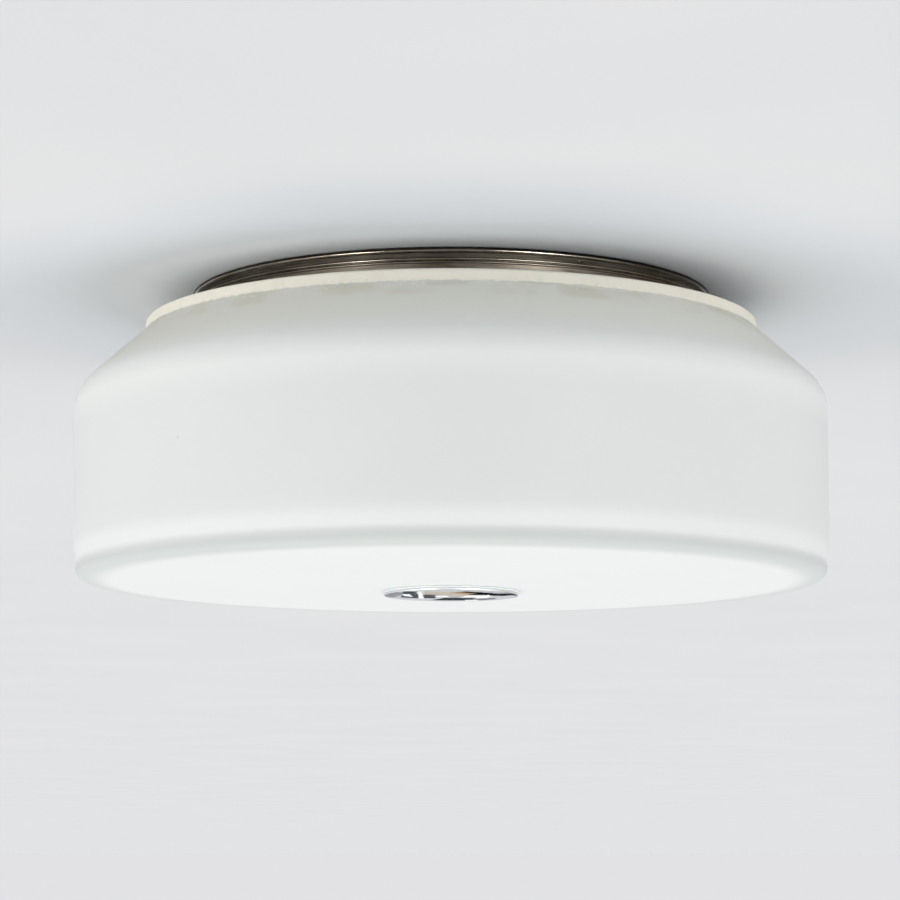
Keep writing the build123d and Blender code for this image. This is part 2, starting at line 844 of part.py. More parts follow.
with BuildPart() as earth_nut:
    nut(Plane(origin=(earth_x, earth_y, canopy_floor)), m4_flats, m4_nut, m4_radius)
keep(earth_nut, "earth_nut")

# Cable grommet, clipped into the hole through the canopy's floor and the plate
hole_radius = grommet_bore + grommet_wall
grommet_top = canopy_floor + grommet_lip
grommet_base = seat_level - grommet_lip
grommet_origin = (grommet_x, grommet_y, 0)
with BuildPart() as grommet:
    with BuildSketch(Plane(origin=grommet_origin, x_dir=(1, 0, 0), z_dir=(0, -1, 0))):
        with BuildLine():
            Polyline(
                (grommet_bore, grommet_top),
                (hole_radius + grommet_flange / 2, grommet_top),
                (hole_radius + grommet_flange, canopy_floor),
                (hole_radius - hole_gap, canopy_floor),
                (hole_radius - hole_gap, seat_level),
                (hole_radius + grommet_flange, seat_level),
                (hole_radius + grommet_flange / 2, grommet_base),
                (grommet_bore, grommet_base),
                close=True,
            )
        make_face()
    revolve(axis=Axis(grommet_origin, (0, 0, 1)))
keep(grommet, "grommet")

# Leads from the terminal block to the holders and to the earth ring. The pair to the first lamp leaves
# each pole above the pair to the second, crosses the plate through the clip, and drops behind its holder.
live_x, neutral_x, earth_pole_x = pole_places
lead_start = block_y - clamp_pitch / 2
block_front = block_y - block_depth / 2
foot_reach = bracket_back - bracket_foot
drop_x = holder_back + drop_stand_off
lead_end = holder_back - terminal_depth + terminal_screw_recess
upper_lead = pole_level + lead_pitch / 2
lower_lead = pole_level - lead_pitch / 2
dipped_lead = upper_lead - lead_dip
drop_level = upper_lead - drop_fall
far = lamp_offset + terminal_spacing / 2
near = lamp_offset - terminal_spacing / 2
live_routes = [
    (
        [
            (live_x, lead_start, upper_lead),
            (live_x, block_front - lead_exit, upper_lead),
            (clip_x + clip_run, clip_y + clip_split, upper_lead),
            (clip_x - clip_run, clip_y + clip_split, upper_lead),
            (lead_clearance - foot_reach, near, dipped_lead),
            (drop_stand_off - holder_back, lamp_offset + drop_stand_off, dipped_lead - lead_dip),
            (-drop_x, far, drop_level),
            (-drop_x, far, lamp_level),
            (-lead_end, far, lamp_level),
        ],
        [lead_bend, sweep_bend, sweep_bend, turn_bend, turn_bend, drop_bend, lead_bend],
    ),
    (
        [
            (live_x, lead_start, lower_lead),
            (live_x + lead_pitch, earth_y, lower_lead),
            (block_x, drop_stand_off - lamp_offset, lower_lead - lead_pitch / 2),
            (drop_x, -far, drop_level),
            (drop_x, -far, lamp_level),
            (lead_end, -far, lamp_level),
        ],
        [sweep_bend, sweep_bend, drop_bend, lead_bend],
    ),
]
neutral_routes = [
    (
        [
            (neutral_x, lead_start, upper_lead),
            (neutral_x, clip_y, upper_lead),
            (clip_x + clip_run, clip_y - clip_split, upper_lead),
            (clip_x - clip_run, clip_y - clip_split, upper_lead),
            (-bracket_screw_far, near - lead_clearance, dipped_lead),
            (-drop_x, near, drop_level),
            (-drop_x, near, lamp_level),
            (-lead_end, near, lamp_level),
        ],
        [lead_bend, sweep_bend, sweep_bend, sweep_bend, drop_bend, lead_bend],
    ),
    (
        [
            (neutral_x, lead_start, lower_lead),
            (neutral_x, block_front - lead_exit, lower_lead),
            (block_x + lead_clearance, earth_y, lower_lead),
            (drop_x, -near, drop_level),
            (drop_x, -near, lamp_level),
            (lead_end, -near, lamp_level),
        ],
        [turn_bend, sweep_bend, drop_bend, lead_bend],
    ),
]
earth_routes = [
    (
        [
            (earth_pole_x, lead_start, pole_level),
            (earth_pole_x, block_front - earth_exit, pole_level),
            (earth_x, block_front - lead_exit, barrel_level),
            (earth_x, barrel_start + ring_sheet, barrel_level),
        ],
        [lead_bend, lead_bend],
    ),
]


def leads(routes):
    """Round leads, each swept along straight runs joined by tangent arcs."""
    with BuildPart() as run:
        for points, bends in routes:
            with BuildLine() as route:
                FilletPolyline(*points, radius=bends)
            with BuildSketch(Plane(origin=route.line @ 0, z_dir=route.line % 0)):
                Circle(lead_radius)
            sweep()
            print("lead", round(route.wire().length, 1), "mm long, bends", bends)
    return run


keep(leads(live_routes), "live_leads")
keep(leads(neutral_routes), "neutral_leads")
keep(leads(earth_routes), "earth_lead")

# Clip that holds the two long leads up to the plate
clip_depth = seat_level - upper_lead + clip_channel / 2 + clip_wall
with BuildPart() as lead_clip:
    with BuildSketch(Plane.XY.offset(seat_level)):
        with Locations((clip_x, clip_y)):
            Rectangle(clip_length, clip_width)
    extrude(amount=-clip_depth)
    with BuildSketch(Plane(origin=(clip_x, clip_y, upper_lead), x_dir=(0, 1, 0), z_dir=(1, 0, 0))):
        Rectangle(clip_width - 2 * clip_wall, clip_channel)
    extrude(amount=clip_length / 2, both=True, mode=Mode.SUBTRACT)
keep(lead_clip, "lead_clip")
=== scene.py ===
from math import asin, atan, atan2, cos, pi, radians, sin, sqrt, tan

import bpy
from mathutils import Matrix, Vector


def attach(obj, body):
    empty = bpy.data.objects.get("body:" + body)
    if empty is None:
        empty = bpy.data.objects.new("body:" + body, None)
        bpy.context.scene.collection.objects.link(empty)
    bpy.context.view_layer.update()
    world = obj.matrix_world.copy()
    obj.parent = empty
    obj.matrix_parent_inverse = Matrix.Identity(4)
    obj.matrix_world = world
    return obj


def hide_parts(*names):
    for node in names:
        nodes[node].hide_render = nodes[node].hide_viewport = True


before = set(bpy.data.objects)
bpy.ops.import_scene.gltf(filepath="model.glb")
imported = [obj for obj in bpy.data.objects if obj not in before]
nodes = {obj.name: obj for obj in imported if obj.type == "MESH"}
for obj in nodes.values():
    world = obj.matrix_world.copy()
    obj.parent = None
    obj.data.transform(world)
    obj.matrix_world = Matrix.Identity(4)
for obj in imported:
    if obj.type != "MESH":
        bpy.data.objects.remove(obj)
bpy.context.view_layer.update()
mm = 0.001
print("frame loaded,", len(nodes), "nodes")


def tint(red, green, blue):
    # a colour as it should show, 0 to 255, made linear
    shares = [value / 255 for value in (red, green, blue)]
    return tuple(s / 12.92 if s < 0.04045 else ((s + 0.055) / 1.055) ** 2.4 for s in shares) + (1,)


# Materials

class Wire:
    # a socket of a material that Python's operators work on
    def __init__(self, finish, socket):
        self.finish = finish
        self.socket = socket

    def maths(self, operation, *others):
        return self.finish.node("Math", {"operation": operation}, dict(enumerate((self, *others))))

    def __add__(self, other):
        return self.maths("ADD", other)

    def __mul__(self, other):
        return self.maths("MULTIPLY", other)

    def __sub__(self, other):
        return self.maths("SUBTRACT", other)

    def __rsub__(self, other):
        return self.finish.node("Math", {"operation": "SUBTRACT"}, {0: other, 1: self})

    def __pow__(self, other):
        return self.maths("POWER", other)

    __radd__ = __add__

    def rise(self, low, high):
        # 0 below low, 1 above high, smooth between
        values = {"Value": self, "From Min": low, "From Max": high}
        return self.finish.node("MapRange", {"interpolation_type": "SMOOTHSTEP"}, values)

    def band(self, low, high, edge):
        # 1 between low and high, 0 outside
        return self.rise(low - edge, low + edge) * (1 - self.rise(high - edge, high + edge))


class Tree:
    # the node tree of a material or of the world
    def __init__(self, holder):
        holder.use_nodes = True
        self.tree = holder.node_tree
        self.tree.nodes.clear()

    def node(self, kind, settings={}, values={}, output=0):
        made = self.tree.nodes.new("ShaderNode" + kind)
        for name, value in settings.items():
            setattr(made, name, value)
        for name, value in values.items():
            if isinstance(value, Wire):
                self.tree.links.new(value.socket, made.inputs[name])
            else:
                made.inputs[name].default_value = value
        return Wire(self, made.outputs[output])


class Finish(Tree):
    # one material, built node by node on object coordinates in millimetres
    def __init__(self, name):
        self.material = bpy.data.materials.new(name)
        super().__init__(self.material)
        raw = self.node("TexCoord", output="Object")
        self.place = self.node("VectorMath", {"operation": "SCALE"}, {0: raw, "Scale": 1000.0})
        split = self.node("SeparateXYZ", {}, {0: self.place})
        self.x, self.y, self.z = (Wire(self, out) for out in split.socket.node.outputs)

    def spot(self, x, y, z):
        return self.node("CombineXYZ", {}, {0: x, 1: y, 2: z})

    def noise(self, size, detail=2.0, roughness=0.5, at=None):
        # size is the width of a patch in millimetres
        values = {"Vector": at or self.place, "Scale": 1 / size, "Detail": detail, "Roughness": roughness}
        return self.node("TexNoise", {}, values)

    def cells(self, size, output=0):
        # distance from the middle of each cell, or with output 1 the cell's own colour
        return self.node("TexVoronoi", {}, {"Vector": self.place, "Scale": 1 / size}, output)

    def angle(self):
        # angle round the lamp's axis
        return self.y.maths("ARCTAN2", self.x)

    def reach(self):
        # distance from the lamp's axis
        return (self.x * self.x + self.y * self.y) ** 0.5

    def blend(self, share, first, second):
        # the first colour where share is 0, the second where it is 1
        return self.node("Mix", {"data_type": "RGBA"}, {0: share, 6: first, 7: second}, 2)

    def bump(self, height, depth, over=None):
        # depth is in millimetres
        values = {"Height": height, "Distance": depth * mm, "Strength": 1.0}
        if over:
            values["Normal"] = over
        return self.node("Bump", {}, values)

    def surface(self, shader):
        out = self.tree.nodes.new("ShaderNodeOutputMaterial")
        self.tree.links.new(shader.socket, out.inputs["Surface"])
        return self.material

    def done(self, values):
        return self.surface(self.node("BsdfPrincipled", {}, values))


def opalGlass():
    # etched opal: a creamy ground neck, painted shade on the foot, a painted highlight on the turned-in wall,
    # a lighter painted band on the shoulder, the cone painted warmer, darker on its left and lighter on its
    # right, and smears, chips and flakes round the neck
    look = {
        "glass": tint(233, 234, 232), "milky": tint(228, 230, 228), "light": tint(239, 240, 238),
        "shoulder": tint(239, 240, 237), "coneLeftPaintedShade": tint(232, 231, 222), "coneRightPaintedLight": tint(243, 242, 233),
        "foot": tint(208, 211, 208), "neck": tint(255, 247, 231), "cream": tint(238, 232, 216),
        "smear": tint(196, 192, 168), "stain": tint(212, 204, 176), "chip": tint(214, 208, 192),
        "flake": tint(246, 244, 238), "speck": tint(90, 88, 84),
    }
    neckFoot, neckEdge, ragged = -18.9, 0.2, 2.3
    f = Finish("opalGlass")
    angle = f.angle()
    neck = (f.z + (f.noise(3.0, 3.0) - 0.5) * ragged).rise(neckFoot - neckEdge, neckFoot + neckEdge)
    # painted shade: the cove and the bead at the foot, out from the floor's middle, are painted a greyer tone
    foot = (1 - f.z.rise(-131.0, -126.8)) * f.reach().rise(156.0, 170.0)
    drawn = f.noise(1.0, 3.0, 0.6, f.spot(angle * 3.0, 0.0, f.z * 0.3)).rise(0.42, 0.62)
    smear = f.z.band(-22.0, -18.6, 1.2) * drawn * f.noise(32.0, 2.0).rise(0.42, 0.62)
    blotch = f.noise(9.0, 4.0, 0.6).rise(0.5, 0.75)
    flake = f.z.band(-22.0, -18.4, 0.5) * (1 - f.cells(2.2).rise(0.24, 0.42))
    flake = flake * f.noise(17.0, 1.0).rise(0.47, 0.54)
    cloud = f.noise(70.0, 2.0)
    stain = f.z.band(-26.0, -19.8, 1.5) * f.noise(24.0, 2.0).rise(0.46, 0.66)
    chipped = f.z.band(-19.6, -17.6, 0.35) * (1 - f.cells(2.1).rise(0.16, 0.3))
    chipped = chipped * f.noise(15.0, 2.0).rise(0.54, 0.62)
    speck = 1 - f.cells(24.0).rise(0.008, 0.013)
    colour = f.blend(cloud.rise(0.35, 0.7) * 0.25, look["glass"], look["milky"])
    # painted highlight: the wall where it turns in above the cove is painted lighter
    colour = f.blend(f.z.band(-128.0, -119.5, 3.5), colour, look["light"])
    # painted light: a lighter band is painted on the shoulder and the upright wall below it
    colour = f.blend(f.z.band(-61.0, -36.0, 8.0), colour, look["shoulder"])
    # painted shade and light: the cone is painted darker on its left, lighter on its right, and warmer to
    # offset the bluish light
    cone = f.blend(f.x.rise(-140.0, 140.0), look["coneLeftPaintedShade"], look["coneRightPaintedLight"])
    colour = f.blend(f.z.rise(-48.0, -30.0), colour, cone)
    colour = f.blend(foot, colour, look["foot"])
    colour = f.blend(smear * 0.32, colour, look["smear"])
    colour = f.blend(neck, colour, f.blend(blotch * 0.4, look["neck"], look["cream"]))
    colour = f.blend(stain * 0.34, colour, look["stain"])
    colour = f.blend(chipped * 0.7, colour, look["chip"])
    colour = f.blend(flake * 0.85, colour, look["flake"])
    colour = f.blend(speck * 0.8, colour, look["speck"])
    grain = f.bump(f.noise(0.35, 2.0), 0.004)
    wavy = f.bump(f.noise(34.0, 1.0), 0.25, grain)
    brushed = f.noise(1.6, 3.0, at=f.spot(angle * 30.0, f.reach(), f.z * 1.2))
    handmade = f.bump(brushed * neck - chipped * 0.8 + flake * 0.6, 0.26, wavy)
    return f.done({
        "Base Color": colour, "Roughness": 0.58 + neck * 0.16 + cloud * 0.06, "Normal": handmade,
        "Specular IOR Level": 0.25, "Subsurface Weight": 0.3, "Subsurface Radius": (1.0, 0.98, 0.95),
        "Subsurface Scale": 3.0 * mm,
    })


def spunNickel():
    # streaks and turning lines run round the axis; spots, and near the ceiling a dark line along the top of
    # the rim that is a painted contact shadow, wider to the right; the lower wall is painted darker, a
    # painted shade
    look = {
        "bare": tint(160, 153, 141), "tarnish": tint(106, 97, 84), "lowerWallShade": tint(74, 67, 57),
        "pit": tint(24, 21, 18),
    }
    f = Finish("spunNickel")
    angle = f.angle()
    height = f.z + f.reach()
    lines = f.noise(1.0, 3.0, 0.65, f.spot(angle * 1.5, 0.0, height * 5.0))
    streak = f.noise(1.0, 3.0, 0.6, f.spot(angle * 6.0, 0.0, height * 0.9))
    haze = f.noise(24.0, 3.0, 0.6)
    spots = (1 - f.cells(5.2).rise(0.06, 0.11)) * f.noise(14.0, 1.0).rise(0.46, 0.56)
    # painted contact shadow: a dark, rougher line along the top of the rim under the ceiling, wider to the
    # right
    dirtAndShade = (f.z + f.x * 0.012).rise(-1.2, -0.5) * f.z.rise(-2.4, -2.0)
    dark = spots.maths("MAXIMUM", dirtAndShade)
    # painted shade: the lower wall is painted darker and made rougher
    foot = 1 - f.z.rise(-7.8, -3.8)
    rim = f.z.rise(-2.8, -2.2)
    colour = f.blend(haze.rise(0.4, 0.7) * 0.6, look["bare"], look["tarnish"])
    colour = f.blend(streak.rise(0.46, 0.62) * 0.8, colour, look["tarnish"])
    colour = f.blend(dark, colour, look["pit"])
    colour = f.blend(foot * 0.5, colour, look["lowerWallShade"])
    return f.done({
        "Base Color": colour, "Metallic": 1.0 - dark * 0.7,
        "Roughness": (0.1 + haze * 0.1 + lines * 0.14) * (1 - rim * 0.5) + foot * 0.15 + dirtAndShade * 0.3,
        "Normal": f.bump(1 - spots, 0.08, f.bump(lines, 0.03)),
    })


def whitePaint():
    look = {"paint": tint(232, 231, 226), "aged": tint(222, 214, 196), "dust": tint(196, 193, 186)}
    f = Finish("whitePaint")
    aged = f.noise(60.0, 3.0).rise(0.45, 0.75)
    dust = f.noise(7.0, 4.0, 0.65).rise(0.58, 0.8)
    colour = f.blend(aged * 0.6, look["paint"], look["aged"])
    colour = f.blend(dust * 0.45, colour, look["dust"])
    peel = f.bump(f.noise(1.4, 1.0), 0.02)
    return f.done({
        "Base Color": colour, "Roughness": 0.36 + dust * 0.2, "Normal": peel,
        "Coat Weight": 0.15, "Coat Roughness": 0.2,
    })


def zincSteel():
    look = {"zinc": tint(186, 188, 190), "dull": tint(146, 146, 142), "warm": tint(176, 166, 140)}
    f = Finish("zincSteel")
    spangle = f.cells(3.2, output=1)
    patch = f.noise(9.0, 3.0, 0.6)
    warm = f.noise(22.0, 2.0).rise(0.55, 0.75)
    shine = f.node("RGBToBW", {}, {0: spangle})
    colour = f.blend(shine * 0.35 + patch.rise(0.4, 0.7) * 0.5, look["zinc"], look["dull"])
    colour = f.blend(warm * 0.4, colour, look["warm"])
    rolled = f.bump(f.noise(0.8, 2.0, 0.5, f.spot(f.x, f.y * 0.15, f.z)), 0.012)
    return f.done({
        "Base Color": colour, "Metallic": 1.0, "Roughness": 0.3 + patch * 0.16, "Normal": rolled,
    })


def threadedSteel():
    look = {"crest": tint(200, 200, 198), "root": tint(104, 100, 92), "oil": tint(132, 122, 104)}
    f = Finish("threadedSteel")
    oil = f.noise(11.0, 3.0).rise(0.4, 0.75)
    fine = f.noise(0.7, 2.0)
    # painted shade: the thread's roots are painted darker than its crests
    colour = f.blend(f.reach().rise(4.45, 4.95), look["root"], look["crest"])
    colour = f.blend(oil * 0.4, colour, look["oil"])
    return f.done({
        "Base Color": colour, "Metallic": 1.0, "Roughness": 0.26 + oil * 0.16, "Normal": f.bump(fine, 0.01),
    })


def gasketRubber():
    look = {"white": tint(252, 252, 250), "bloom": tint(244, 243, 240)}
    f = Finish("gasketRubber")
    speck = f.noise(0.9, 3.0)
    bloom = f.noise(8.0, 3.0).rise(0.4, 0.75)
    colour = f.blend(bloom * 0.5, look["white"], look["bloom"])
    return f.done({
        "Base Color": colour, "Roughness": 0.55 + speck * 0.15, "Normal": f.bump(speck, 0.03),
        "Subsurface Weight": 0.4, "Subsurface Scale": 1.0 * mm,
    })


def polishedChrome():
    look = {"chrome": tint(226, 228, 231), "film": tint(206, 207, 208), "pit": tint(96, 92, 88)}
    f = Finish("polishedChrome")
    film = f.noise(20.0, 3.0).rise(0.4, 0.8)
    edge = f.reach().rise(30.6, 31.1)
    turned = f.node("Mapping", {}, {0: f.place, "Rotation": (0, 0, 0.7), "Scale": (0.15, 3.0, 1.0)})
    hairline = f.noise(1.0, 2.0, 0.6, turned).rise(0.66, 0.72)
    pits = 1 - f.cells(5.5).rise(0.02, 0.045)
    colour = f.blend(film * 0.6, look["chrome"], look["film"])
    colour = f.blend(pits, colour, look["pit"])
    return f.done({
        "Base Color": colour, "Metallic": 1.0,
        "Roughness": 0.035 + film * 0.04 + hairline * 0.06 + pits * 0.3 + edge * 0.3,
        "Normal": f.bump(f.noise(9.0, 1.0) - hairline * 0.01 - pits * 0.05, 0.03),
    })


def brass():
    look = {"bright": tint(214, 184, 116), "aged": tint(160, 128, 74)}
    f = Finish("brass")
    age = f.noise(4.5, 4.0, 0.6)
    fine = f.noise(0.5, 2.0)
    colour = f.blend(age.rise(0.4, 0.7), look["bright"], look["aged"])
    return f.done({
        "Base Color": colour, "Metallic": 1.0, "Roughness": 0.24 + age * 0.2, "Normal": f.bump(fine, 0.01),
    })


def blockPlastic():
    look = {"ivory": tint(226, 222, 208), "warm": tint(216, 208, 188), "dirtAndShade": tint(150, 142, 128)}
    f = Finish("blockPlastic")
    warm = f.noise(12.0, 2.0)
    grain = f.noise(0.4, 2.0)
    dirtAndShade = f.noise(2.8, 4.0, 0.65).rise(0.6, 0.8)
    colour = f.blend(warm.rise(0.35, 0.7), look["ivory"], look["warm"])
    colour = f.blend(dirtAndShade * 0.4, colour, look["dirtAndShade"])
    return f.done({
        "Base Color": colour, "Roughness": 0.4 + grain * 0.1, "Normal": f.bump(grain, 0.015),
        "Subsurface Weight": 0.2, "Subsurface Scale": 1.2 * mm,
    })


def tinned():
    look = {"bright": tint(206, 204, 198), "dull": tint(164, 160, 152)}
    f = Finish("tinned")
    dull = f.noise(3.0, 3.0, 0.6)
    colour = f.blend(dull.rise(0.4, 0.7), look["bright"], look["dull"])
    return f.done({
        "Base Color": colour, "Metallic": 1.0, "Roughness": 0.3 + dull * 0.18,
        "Normal": f.bump(f.noise(0.6, 2.0), 0.015),
    })


def grommetRubber():
    look = {"black": tint(42, 41, 40), "dust": tint(104, 100, 94)}
    f = Finish("grommetRubber")
    dust = f.noise(2.2, 4.0, 0.65).rise(0.5, 0.75)
    colour = f.blend(dust * 0.5, look["black"], look["dust"])
    return f.done({
        "Base Color": colour, "Roughness": 0.56 + dust * 0.2, "Normal": f.bump(f.noise(0.5, 2.0), 0.03),
    })


def leadCover(name, main, faded):
    f = Finish(name)
    wear = f.noise(6.0, 3.0).rise(0.45, 0.75)
    grease = f.noise(1.2, 3.0)
    colour = f.blend(wear * 0.5, main, faded)
    return f.done({
        "Base Color": colour, "Roughness": 0.34 + grease * 0.14, "Normal": f.bump(grease, 0.02),
        "Coat Weight": 0.1, "Coat Roughness": 0.3,
    })


def earthCover():
    # a yellow stripe along the lead, whose run leans a little from the Y axis
    look = {"green": tint(64, 132, 62), "yellow": tint(222, 196, 60), "worn": tint(150, 148, 120)}
    leadX, leadY, lean = 90.0, 40.0, 0.06
    f = Finish("earthCover")
    wear = f.noise(6.0, 3.0).rise(0.45, 0.75)
    stripe = (f.x - leadX - (leadY - f.y) * lean).rise(-0.08, 0.08)
    colour = f.blend(stripe, look["green"], look["yellow"])
    colour = f.blend(wear * 0.25, colour, look["worn"])
    return f.done({
        "Base Color": colour, "Roughness": 0.38 + wear * 0.1, "Normal": f.bump(f.noise(1.2, 2.0), 0.02),
    })


def clipNylon():
    look = {"natural": tint(228, 225, 216), "aged": tint(214, 208, 194)}
    f = Finish("clipNylon")
    grain = f.noise(0.5, 2.0)
    colour = f.blend(f.noise(5.0, 2.0).rise(0.4, 0.7), look["natural"], look["aged"])
    return f.done({
        "Base Color": colour, "Roughness": 0.42 + grain * 0.1, "Normal": f.bump(grain, 0.02),
        "Subsurface Weight": 0.3, "Subsurface Scale": 1.0 * mm,
    })


def porcelain():
    look = {
        "glaze": tint(238, 236, 229), "pooled": tint(230, 225, 212), "smoke": tint(206, 190, 160),
        "iron": tint(120, 96, 70),
    }
    f = Finish("porcelain")
    pool = f.noise(13.0, 2.0)
    iron = 1 - f.cells(6.0).rise(0.025, 0.05)
    smoke = f.noise(20.0, 3.0).rise(0.5, 0.8)
    colour = f.blend(pool.rise(0.35, 0.7), look["glaze"], look["pooled"])
    colour = f.blend(smoke * 0.3, colour, look["smoke"])
    colour = f.blend(iron * 0.7, colour, look["iron"])
    return f.done({
        "Base Color": colour, "Roughness": 0.16 + pool * 0.08, "Normal": f.bump(pool, 0.12),
        "Coat Weight": 0.5, "Coat Roughness": 0.06,
    })


def frostedGlass():
    # dust lies on the upper half of the bulbs
    look = {"frost": tint(240, 240, 238), "film": tint(233, 232, 227), "dust": tint(190, 186, 176)}
    f = Finish("frostedGlass")
    film = f.noise(18.0, 3.0)
    etch = f.noise(0.3, 2.0)
    dust = f.noise(1.6, 3.0).rise(0.62, 0.8) * f.z.rise(-64.0, -40.0)
    colour = f.blend(film.rise(0.4, 0.7), look["frost"], look["film"])
    colour = f.blend(dust * 0.4, colour, look["dust"])
    return f.done({
        "Base Color": colour, "Roughness": 0.4 + film * 0.08, "Normal": f.bump(etch, 0.006),
        "Subsurface Weight": 0.3, "Subsurface Scale": 2.0 * mm, "Coat Weight": 0.15, "Coat Roughness": 0.25,
    })


def bulbMetal():
    look = {"bright": tint(204, 203, 199), "worn": tint(164, 160, 152)}
    f = Finish("bulbMetal")
    wear = f.noise(3.4, 4.0, 0.6)
    drawn = f.noise(1.0, 2.0, 0.5, f.spot(f.x * 3.0, f.y * 0.3, f.z * 0.3))
    colour = f.blend(wear.rise(0.42, 0.7), look["bright"], look["worn"])
    return f.done({
        "Base Color": colour, "Metallic": 1.0, "Roughness": 0.24 + wear * 0.16, "Normal": f.bump(drawn, 0.02),
    })


def blackGlass():
    look = {"black": tint(28, 26, 30), "dust": tint(80, 76, 74)}
    f = Finish("blackGlass")
    dust = f.noise(1.5, 3.0).rise(0.55, 0.8)
    colour = f.blend(dust * 0.5, look["black"], look["dust"])
    return f.done({
        "Base Color": colour, "Roughness": 0.14 + dust * 0.3, "Normal": f.bump(f.noise(2.5, 2.0), 0.05),
    })


def plasterCeiling():
    # see-through from behind, so that a view from above shows the lamp; metal mirrors it dimmer. Out to about
    # 300 mm round the lamp a bluish painted shadow, darker in the middle strip; close to the canopy, painted
    # light on the left and painted shadow on the right
    look = {
        "plaster": tint(217, 217, 217), "warm": tint(220, 219, 219), "mirrored": tint(128, 126, 124),
        "paintedShadowMiddle": tint(206, 209, 212), "paintedShadowSides": tint(218, 220, 222),
        "paintedLightLeft": tint(243, 246, 249), "paintedShadowRight": tint(205, 208, 211),
    }
    f = Finish("plasterCeiling")
    colour = f.blend(f.noise(260.0, 3.0).rise(0.3, 0.7), look["plaster"], look["warm"])
    # painted shadow: a bluish ring round the lamp, darker in the middle strip
    outer = f.blend(f.x.maths("ABSOLUTE").rise(40.0, 160.0), look["paintedShadowMiddle"], look["paintedShadowSides"])
    colour = f.blend(1 - f.reach().rise(190.0, 300.0), colour, outer)
    # painted light and shadow: near the canopy, lighter on the left and darker on the right
    inner = f.blend(f.x.rise(-150.0, 150.0), look["paintedLightLeft"], look["paintedShadowRight"])
    colour = f.blend(1 - f.reach().rise(132.0, 166.0), colour, inner)
    grain = f.bump(f.noise(1.2, 3.0, 0.6), 0.03)
    wall = f.node("BsdfDiffuse", {}, {"Color": colour, "Normal": grain})
    dim = f.node("BsdfDiffuse", {}, {"Color": look["mirrored"]})
    clear = f.node("BsdfTransparent")
    behind = f.node("NewGeometry", output="Backfacing")
    mirrored = f.node("LightPath", output="Is Glossy Ray")
    front = f.node("MixShader", {}, {0: mirrored, 1: wall, 2: dim})
    return f.surface(f.node("MixShader", {}, {0: behind, 1: front, 2: clear}))


def cardGlow(name, first, second, strength):
    f = Finish(name)
    colour = f.blend(f.noise(220.0, 2.0).rise(0.35, 0.7), first, second)
    return f.surface(f.node("Emission", {}, {"Color": colour, "Strength": strength}))


opal = opalGlass()
nickel = spunNickel()
paint = whitePaint()
zinc = zincSteel()
thread = threadedSteel()
silicone = gasketRubber()
chrome = polishedChrome()
yellowMetal = brass()
ivory = blockPlastic()
tin = tinned()
blackRubber = grommetRubber()
brownCover = leadCover("brownCover", tint(104, 66, 46), tint(124, 92, 74))
blueCover = leadCover("blueCover", tint(60, 104, 168), tint(104, 134, 176))
earthStripes = earthCover()
nylon = clipNylon()
ceramic = porcelain()
frosted = frostedGlass()
bulbShell = bulbMetal()
vitrite = blackGlass()
print("materials made")


# Modelling

lying = {"along": (1, 0, 0), "across": (0, 0, 1)}


def pick(*pieces):
    # selects these alone, and makes the first the active one
    bpy.ops.object.select_all(action="DESELECT")
    for piece in pieces:
        piece.select_set(True)
    bpy.context.view_layer.objects.active = pieces[0]


def settle():
    # the piece that is active takes its place, turn and size into its points
    bpy.ops.object.transform_apply(location=True, rotation=True, scale=True)


def startLine(name, spots):
    # a line through these places, extruded point by point; it leaves the line in edit mode
    bpy.ops.object.select_all(action="DESELECT")
    bpy.ops.mesh.primitive_plane_add(size=2 * mm, location=spots[0])
    bpy.ops.object.transform_apply(location=True, rotation=False, scale=False)
    piece = bpy.context.object
    piece.name = piece.data.name = name
    bpy.ops.object.mode_set(mode="EDIT")
    bpy.ops.mesh.select_mode(type="VERT")
    bpy.ops.mesh.select_all(action="SELECT")
    bpy.ops.mesh.merge(type="CENTER")
    for last, spot in zip(spots, spots[1:]):
        bpy.ops.mesh.extrude_vertices_move(TRANSFORM_OT_translate={"value": spot - last})
    return piece


def turn(name, outline, steps, along=(0, 0, 1), across=(1, 0, 0)):
    # a section of (radius, height) points in millimetres, spun round the axis that along names
    spots = [mm * (Vector(across) * r + Vector(along) * h) for r, h in outline]
    piece = startLine(name, spots)
    bpy.ops.mesh.select_all(action="SELECT")
    bpy.ops.mesh.spin(steps=steps, angle=2 * pi, center=(0, 0, 0), axis=along)
    bpy.ops.mesh.select_all(action="SELECT")
    bpy.ops.mesh.remove_doubles(threshold=0.002 * mm)
    bpy.ops.mesh.normals_make_consistent(inside=False)
    bpy.ops.object.mode_set(mode="OBJECT")
    return piece


def arc(centre, radius, start, end, count):
    # points on an arc of the section, angles in degrees
    angles = [radians(start + (end - start) * i / count) for i in range(count + 1)]
    return [(centre[0] + radius * cos(a), centre[1] + radius * sin(a)) for a in angles]


def rounded(corners, radii, count):
    # a line through corners, with each inner corner rounded by its radius
    line = [corners[0]]
    for before, corner, after, radius in zip(corners, corners[1:], corners[2:], radii):
        here = Vector(corner)
        back = (Vector(before) - here).normalized()
        on = (Vector(after) - here).normalized()
        half = back.angle(on) / 2
        centre = here + (back + on).normalized() * radius / sin(half)
        first = here + back * radius / tan(half) - centre
        last = here + on * radius / tan(half) - centre
        swing = first.angle_signed(last)
        for i in range(count + 1):
            a = -swing * i / count
            spot = centre + Vector((first.x * cos(a) - first.y * sin(a), first.x * sin(a) + first.y * cos(a)))
            line.append((spot.x, spot.y))
    line.append(corners[-1])
    return line


def finishPiece(piece, material, body, sharp=40):
    piece.data.materials.clear()
    piece.data.materials.append(material)
    pick(piece)
    bpy.ops.object.shade_smooth_by_angle(angle=radians(sharp))
    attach(piece, body)


